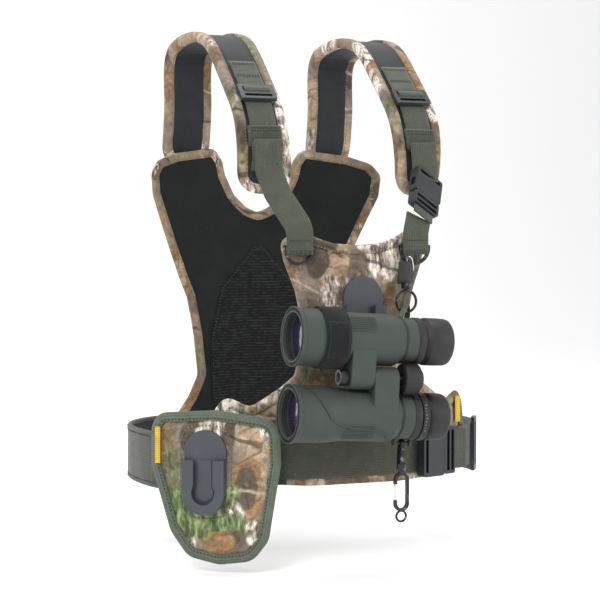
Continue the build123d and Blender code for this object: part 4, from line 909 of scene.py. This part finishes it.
def hull_loop(a, b, radius_a, radius_b, across, width, thick):
    """Webbing wound once round two bars."""
    length, half = (b - a).length, width / 2
    run = (b - a).normalized()
    side = across.normalized()
    rise = side.cross(run).normalized()
    lean = math.asin((radius_b - radius_a) / length)
    line = []
    for k in range(25):
        t = math.pi / 2 + lean + (math.pi - 2 * lean) * k / 24
        line.append(a + run * math.cos(t) * radius_a + rise * math.sin(t) * radius_a)
    for k in range(25):
        t = -math.pi / 2 - lean + (math.pi + 2 * lean) * k / 24
        line.append(b + run * math.cos(t) * radius_b + rise * math.sin(t) * radius_b)
    middle = (a + b) / 2
    verts, faces, uvs = [], [], []
    count = len(line)
    for k, p in enumerate(line):
        tangent = (line[(k + 1) % count] - line[k - 1]).normalized()
        out = tangent.cross(side).normalized()
        if out.dot(p - middle) < 0:
            out.negate()
        for v, h in ((-half, 0.2), (-half, thick - 0.3), (-half + 0.5, thick), (half - 0.5, thick),
                     (half, thick - 0.3), (half, 0.2), (half - 0.5, 0), (-half + 0.5, 0)):
            verts.append(p + side * v + out * h)
            uvs.append((k * 1.2, v))
    for k in range(count):
        after = (k + 1) % count
        for j in range(8):
            faces.append([k * 8 + j, after * 8 + j, after * 8 + (j + 1) % 8, k * 8 + (j + 1) % 8])
    return verts, faces, uvs


for start, name, body, ribs_at, turns in ((UPPER, "upper", "binocular", (44, 72), (14, 62)),
                                          (LOWER, "lower", "lower_half", (40, 76), (-62, -14))):
    ribs = skin(start, ribs_at, turns, 22.0, 22.9, lambda s, t: 0.5 * math.sin(t * 1.25), (30, 90))
    piece(f"{name}_grip", ribs[:2], "armour_rubber", body)
    if name == "lower":
        curve = [(9, 78), (14, 66), (19, 42), (24, 18), (30, -4), (38, -17), (50, -24), (64, -28), (76, -32),
                 (84, -42), (89, -60), (91, -85)]
    else:
        curve = [(12, -118), (16, -96), (20, -72), (26, -52), (34, -44), (43, -41)]
    line = rounded(curve, [6] * (len(curve) - 2), 1.0)

    def along_seam(u, v, layer, line=line, start=start):
        spot = min(max(u, 0), len(line) - 1.001)
        here = line[int(spot)].lerp(line[int(spot) + 1], spot - int(spot))
        ahead = (line[min(int(spot) + 2, len(line) - 1)] - line[max(int(spot) - 1, 0)]).normalized()
        radius = float(np.interp(here.x, [5, 30, 46, 92], [24.5, 24.3, 22.5, 22.5]))
        return barrel_place(start)(here.x - ahead.y * v, here.y + ahead.x * v * 2.5, radius + layer)

    ridge = tape(along_seam, (0, len(line) - 1), (-0.9, 0.9), -0.2, 0.65, 1.5)
    piece(f"{name}_armour_step", ridge[:2], "armour_rubber", body)
    groove = tape(lambda u, v, h: along_seam(u, v - 1.4, h), (0, len(line) - 1), (-0.45, 0.45), -0.3, 0.18,
                  1.5)
    piece(f"{name}_armour_groove", groove[:2], "black_rubber", body)
    rings = [lathe(start, [(98.4, 18.7), (98.4, 19.6), (99.0, 20.0), (100.2, 20.0), (100.8, 19.6),
                           (100.8, 18.7)]),
             lathe(start, [(111.2, 19.0), (111.2, 20.1), (111.7, 20.4), (117.2, 20.4), (117.6, 20.1),
                           (117.6, 19.0)],
                   144, lambda s, t: -0.45 if 111.5 < s < 117.4 and int(t / 2.5) % 3 == 0 else 0)]
    piece(f"{name}_waist_rings", merge(*rings)[:2], "black_rubber", body)
    front = lathe(start, [(0.6, 21.2), (0.0, 22.0), (0.0, 24.6), (1.2, 25.2), (2.2, 25.2), (2.2, 21.2)])
    baffles = [lathe(start, [(s, 20.8), (s, 20.2), (s + 0.5, 19.9), (s + 1, 20.2), (s + 1, 20.8)])
               for s in (2.6, 4.2, 5.8)]
    piece(f"{name}_rim_ring", merge(front, *baffles)[:2], "black_rubber", body)
    first = 118.4 + (6 if name == "lower" else 0)
    profile = [(first, 17.95), (first, 19.0), (first + 3.4, 19.0), (first + 3.8, 20.2), (first + 4.6, 20.6),
               (134, 20.6), (141.5, 20.3), (143.6, 19.7), (144.7, 18.4), (145.0, 17.0), (145.0, 12.9),
               (144.4, 12.1), (143.4, 12.2), (142.4, 14.0), (142.2, 17.95)]
    cup = f"{name}_eyecup"
    piece(cup, lathe(start, profile)[:2], "black_rubber", cup, [cup])

ticks = []
for k in range(9):
    turn = -32 + k * 8
    long = 2.6 if k % 4 == 0 else 1.5
    ticks.append(skin(LOWER, (119.6, 119.6 + long), (turn - 0.7, turn + 0.7), 20.9, 21.12, lambda s, t: 0,
                      (2, 2)))
piece("diopter_marks", merge(*ticks)[:2], "mark_white", "diopter_ring", smooth=False)

band = lathe(UPPER, [(21.2, 24.7), (21.2, 26.0), (22, 26.5), (32, 26.55), (43, 26.5), (43.8, 26.0),
                     (43.8, 24.7)], 96, lambda s, t: 0.12 * math.sin(t * 0.3))
flap = skin(UPPER, (21.6, 43.4), (-40, 35), 26.2, 27.5, lambda s, t: 0.1 * math.sin(t * 0.5), (10, 30))
piece("barrel_strap", merge(band, flap)[:2], "black_strap", "binocular", ["barrel_strap"])
rows = [stitches(barrel_place(UPPER), [(s, -36), (s, 32)], 27.5, 4.2, 3.0) for s in (23.5, 41.5)]
piece("barrel_strap_stitches", merge(*rows)[:2], "thread_dark", "binocular")

cap = lathe(HINGE, [(39.4, 0.0), (39.4, 2.9), (39.9, 3.1), (40.2, 5.9), (41.0, 6.9), (46.5, 7.3), (47.6, 6.8),
                    (47.8, 0.0)], 64, lambda s, t: -0.25 if 41 < s < 47 and int(t / 11.25) % 2 else 0)
piece("hinge_cap", cap[:2], "black_rubber", "binocular")
wheel = lathe(HINGE, [(98.8, 4.6), (98.8, 12.4), (99.6, 13.3), (101, 13.7), (112, 13.7), (113.2, 13.2),
                      (113.8, 12.2), (113.8, 4.6)],
              144, lambda s, t: -0.55 if 101 <= s <= 112 and int(t / 2.5) % 4 == 0 else 0)
piece("focus_wheel_grip", wheel[:2], "black_rubber", "focus_wheel", ["focus_wheel"])
end = lathe(HINGE, [(114.2, 0.0), (114.2, 8.5), (115.2, 9.6), (116.4, 9.2), (117.0, 7.0), (117.2, 0.0)], 64)
piece("focus_wheel_cap", end[:2], "black_rubber", "focus_wheel")
seam = lathe(HINGE, [(69.6, 9.45), (69.6, 10.25), (70.2, 10.25), (70.2, 9.45)], 64)
piece("bridge_seam", seam[:2], "black_rubber", "binocular")
link = hull_loop(Vector((50.5, -123.9, 172.6)), Vector((48.0, -126.6, 179.5)), 2.4, 2.4, Vector((1, 0.6, 0)),
                 1.6, 1.2)
piece("tether_link", link[:2], "silver_metal", "harness")


# ---------------------------------------------------------------- tether
place, length = strip_place([(44, -127.3, 158.5), (44, -127.3, 178)], (1, 0, 0))
leather = [tape(place, (0, length), (-7, 7), -0.9, 0.9, 1.5, 0.1),
           tape(place, (0, 8), (-7.6, 7.6), 0.8, 2.0, 1.5)]
piece("tether_strap", merge(*leather), "black_leather", "harness", ["tether_strap"])
rows = [stitches(place, [(2, x), (length - 2, x)], 1.1, 2.4, 1.7, 0.35) for x in (-5.8, 5.8)]
piece("tether_stitches", merge(*rows)[:2], "thread_dark", "harness")

LUG_TURN, LUG_RADIUS = math.radians(135), 24.2
lug = UPPER + ALONG * 109.7 + AWAY * (LUG_RADIUS * math.cos(LUG_TURN)) + UP * (LUG_RADIUS * math.sin(LUG_TURN))
foot = Vector((44, -128.6, 142.6 - 9.6))
loop = hull_loop(lug, foot, 3.3, 5.8, Vector((0, 0, 1)).cross(foot - lug), 5.0, 1.2)
piece("tether_loop", loop, "webbing_dark", "binocular", ["tether_loop"])


# ---------------------------------------------------------------- buckle tails
def axes_of(name):
    """The three directions of a thin strip's CAD node: its length, its width and its thickness."""
    points = np.array([v.co for v in NODES[name].data.vertices]) / MM
    middle = points.mean(0)
    _u, _s, rows = np.linalg.svd(points - middle)
    spans = [np.ptp((points - middle) @ row) for row in rows]
    order = np.argsort(spans)[::-1]
    return Vector(middle), [Vector(rows[k]) for k in order], [spans[k] for k in order]


for name, body in (("shoulder_buckle_tail", "shoulder_plug"), ("waist_buckle_tail", "waist_plug")):
    middle, (side, along, _), (wide, long, _) = axes_of(name)
    place, length = strip_place([middle - along * (long / 2), middle + along * (long / 2)], side)
    piece(name, tape(place, (0, length), (-wide / 2 + 0.2, wide / 2 - 0.2), -0.75, 0.75, 2.0, 0.15),
          "webbing_green", body, [name])


# ---------------------------------------------------------------- carried-over hardware
FINISH = {
    "dark_metal": ["d_rings", "tether_collar", "tether_ring", "hook_link", "snap_hook", "hinge_pin"],
    "silver_metal": ["hook_gate"], "hub_metal": ["hub"],
    "buckle_plastic": ["ladder_lock_right", "ladder_lock_left", "shoulder_buckle_socket", "shoulder_buckle_plug",
                       "waist_buckle_socket", "waist_buckle_plug", "belt_triglide", "hub_plate"],
    "receiver_plastic": ["chest_receiver_base", "chest_receiver_frame", "holster_receiver_base",
                         "holster_receiver_frame"],
    "armour_rubber": ["upper_barrel", "lower_barrel", "upper_bridge", "lower_bridge"],
    "black_rubber": ["diopter_ring"],
    "lens_glass": ["upper_objective_lens", "lower_objective_lens", "upper_ocular_lens", "lower_ocular_lens",
                   "upper_focus_cell", "lower_focus_cell"],
    "prism_glass": ["upper_prism", "lower_prism"],
}
for material, names in FINISH.items():
    for name in names:
        node = NODES[name]
        node.data.materials.clear()
        node.data.materials.append(MAT[material])
        if material in ("buckle_plastic", "receiver_plastic", "armour_rubber"):
            soft = node.modifiers.new("rounded", "BEVEL")
            soft.width, soft.segments = 0.6 * MM, 2
            soft.limit_method, soft.angle_limit = "ANGLE", math.radians(50)


# ---------------------------------------------------------------- stage, light and camera
AZIMUTH, ELEVATION, DISTANCE = math.radians(-23), math.radians(2), 1.75


def backdrop():
    """A pale floor that curves up behind the object."""
    line = rounded([(0, -2600, FLOOR_HEIGHT), (0, 1900, FLOOR_HEIGHT), (0, 1900, 2600)], 700, 60)
    verts, faces = [], []
    for x in (-4200, 4200):
        verts += [Vector((x, p.y, p.z)) for p in line]
    count = len(line)
    for k in range(count - 1):
        faces.append([k, k + 1, count + k + 1, count + k])
    c, n = math.cos(-AZIMUTH), math.sin(-AZIMUTH)
    verts = [Vector((v.x * c - v.y * n, v.x * n + v.y * c, v.z)) for v in verts]
    data = bpy.data.meshes.new("floor")
    data.from_pydata([v * MM for v in verts], [], faces)
    obj = bpy.data.objects.new("floor", data)
    bpy.context.scene.collection.objects.link(obj)
    s = Shader("floor", rough=0.9, specular=0.2)
    data.materials.append(s.finish((0.93, 0.93, 0.93)))
    for polygon in data.polygons:
        polygon.use_smooth = True
    obj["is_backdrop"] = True


def lamp(name, spot, aim, size, power):
    data = bpy.data.lights.new(name, "AREA")
    data.shape, data.size, data.energy = "DISK", size, power
    obj = bpy.data.objects.new(name, data)
    obj.location = spot
    obj.rotation_euler = (Vector(aim) - Vector(spot)).to_track_quat("-Z", "Y").to_euler()
    bpy.context.scene.collection.objects.link(obj)


backdrop()
AIM = Vector((0.0, 0.009, 0.140))
lamp("key", (-1.3, -1.5, 1.6), AIM, 1.0, 30)
lamp("fill", (1.5, -1.4, 0.7), AIM, 1.2, 14)
lamp("top", (0.1, 0.3, 2.0), AIM, 1.4, 22)
world = bpy.data.worlds.new("studio")
world.use_nodes = True
world.node_tree.nodes["Background"].inputs[0].default_value = (1, 1, 1, 1)
world.node_tree.nodes["Background"].inputs[1].default_value = 0.85
scene = bpy.context.scene
scene.world = world
scene.view_settings.view_transform = "Standard"

way = Vector((math.sin(AZIMUTH) * math.cos(ELEVATION), -math.cos(AZIMUTH) * math.cos(ELEVATION),
              math.sin(ELEVATION)))
eye = AIM + DISTANCE * way
lens = bpy.data.cameras.new("camera")
lens.lens, lens.sensor_width = 111, 36
camera = bpy.data.objects.new("camera", lens)
camera.location = eye
camera.rotation_euler = (AIM - eye).to_track_quat("-Z", "Y").to_euler()
scene.collection.objects.link(camera)
scene.camera = camera

[[[float(n) for n in corner] for corner in box] for box in (cad_box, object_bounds())]
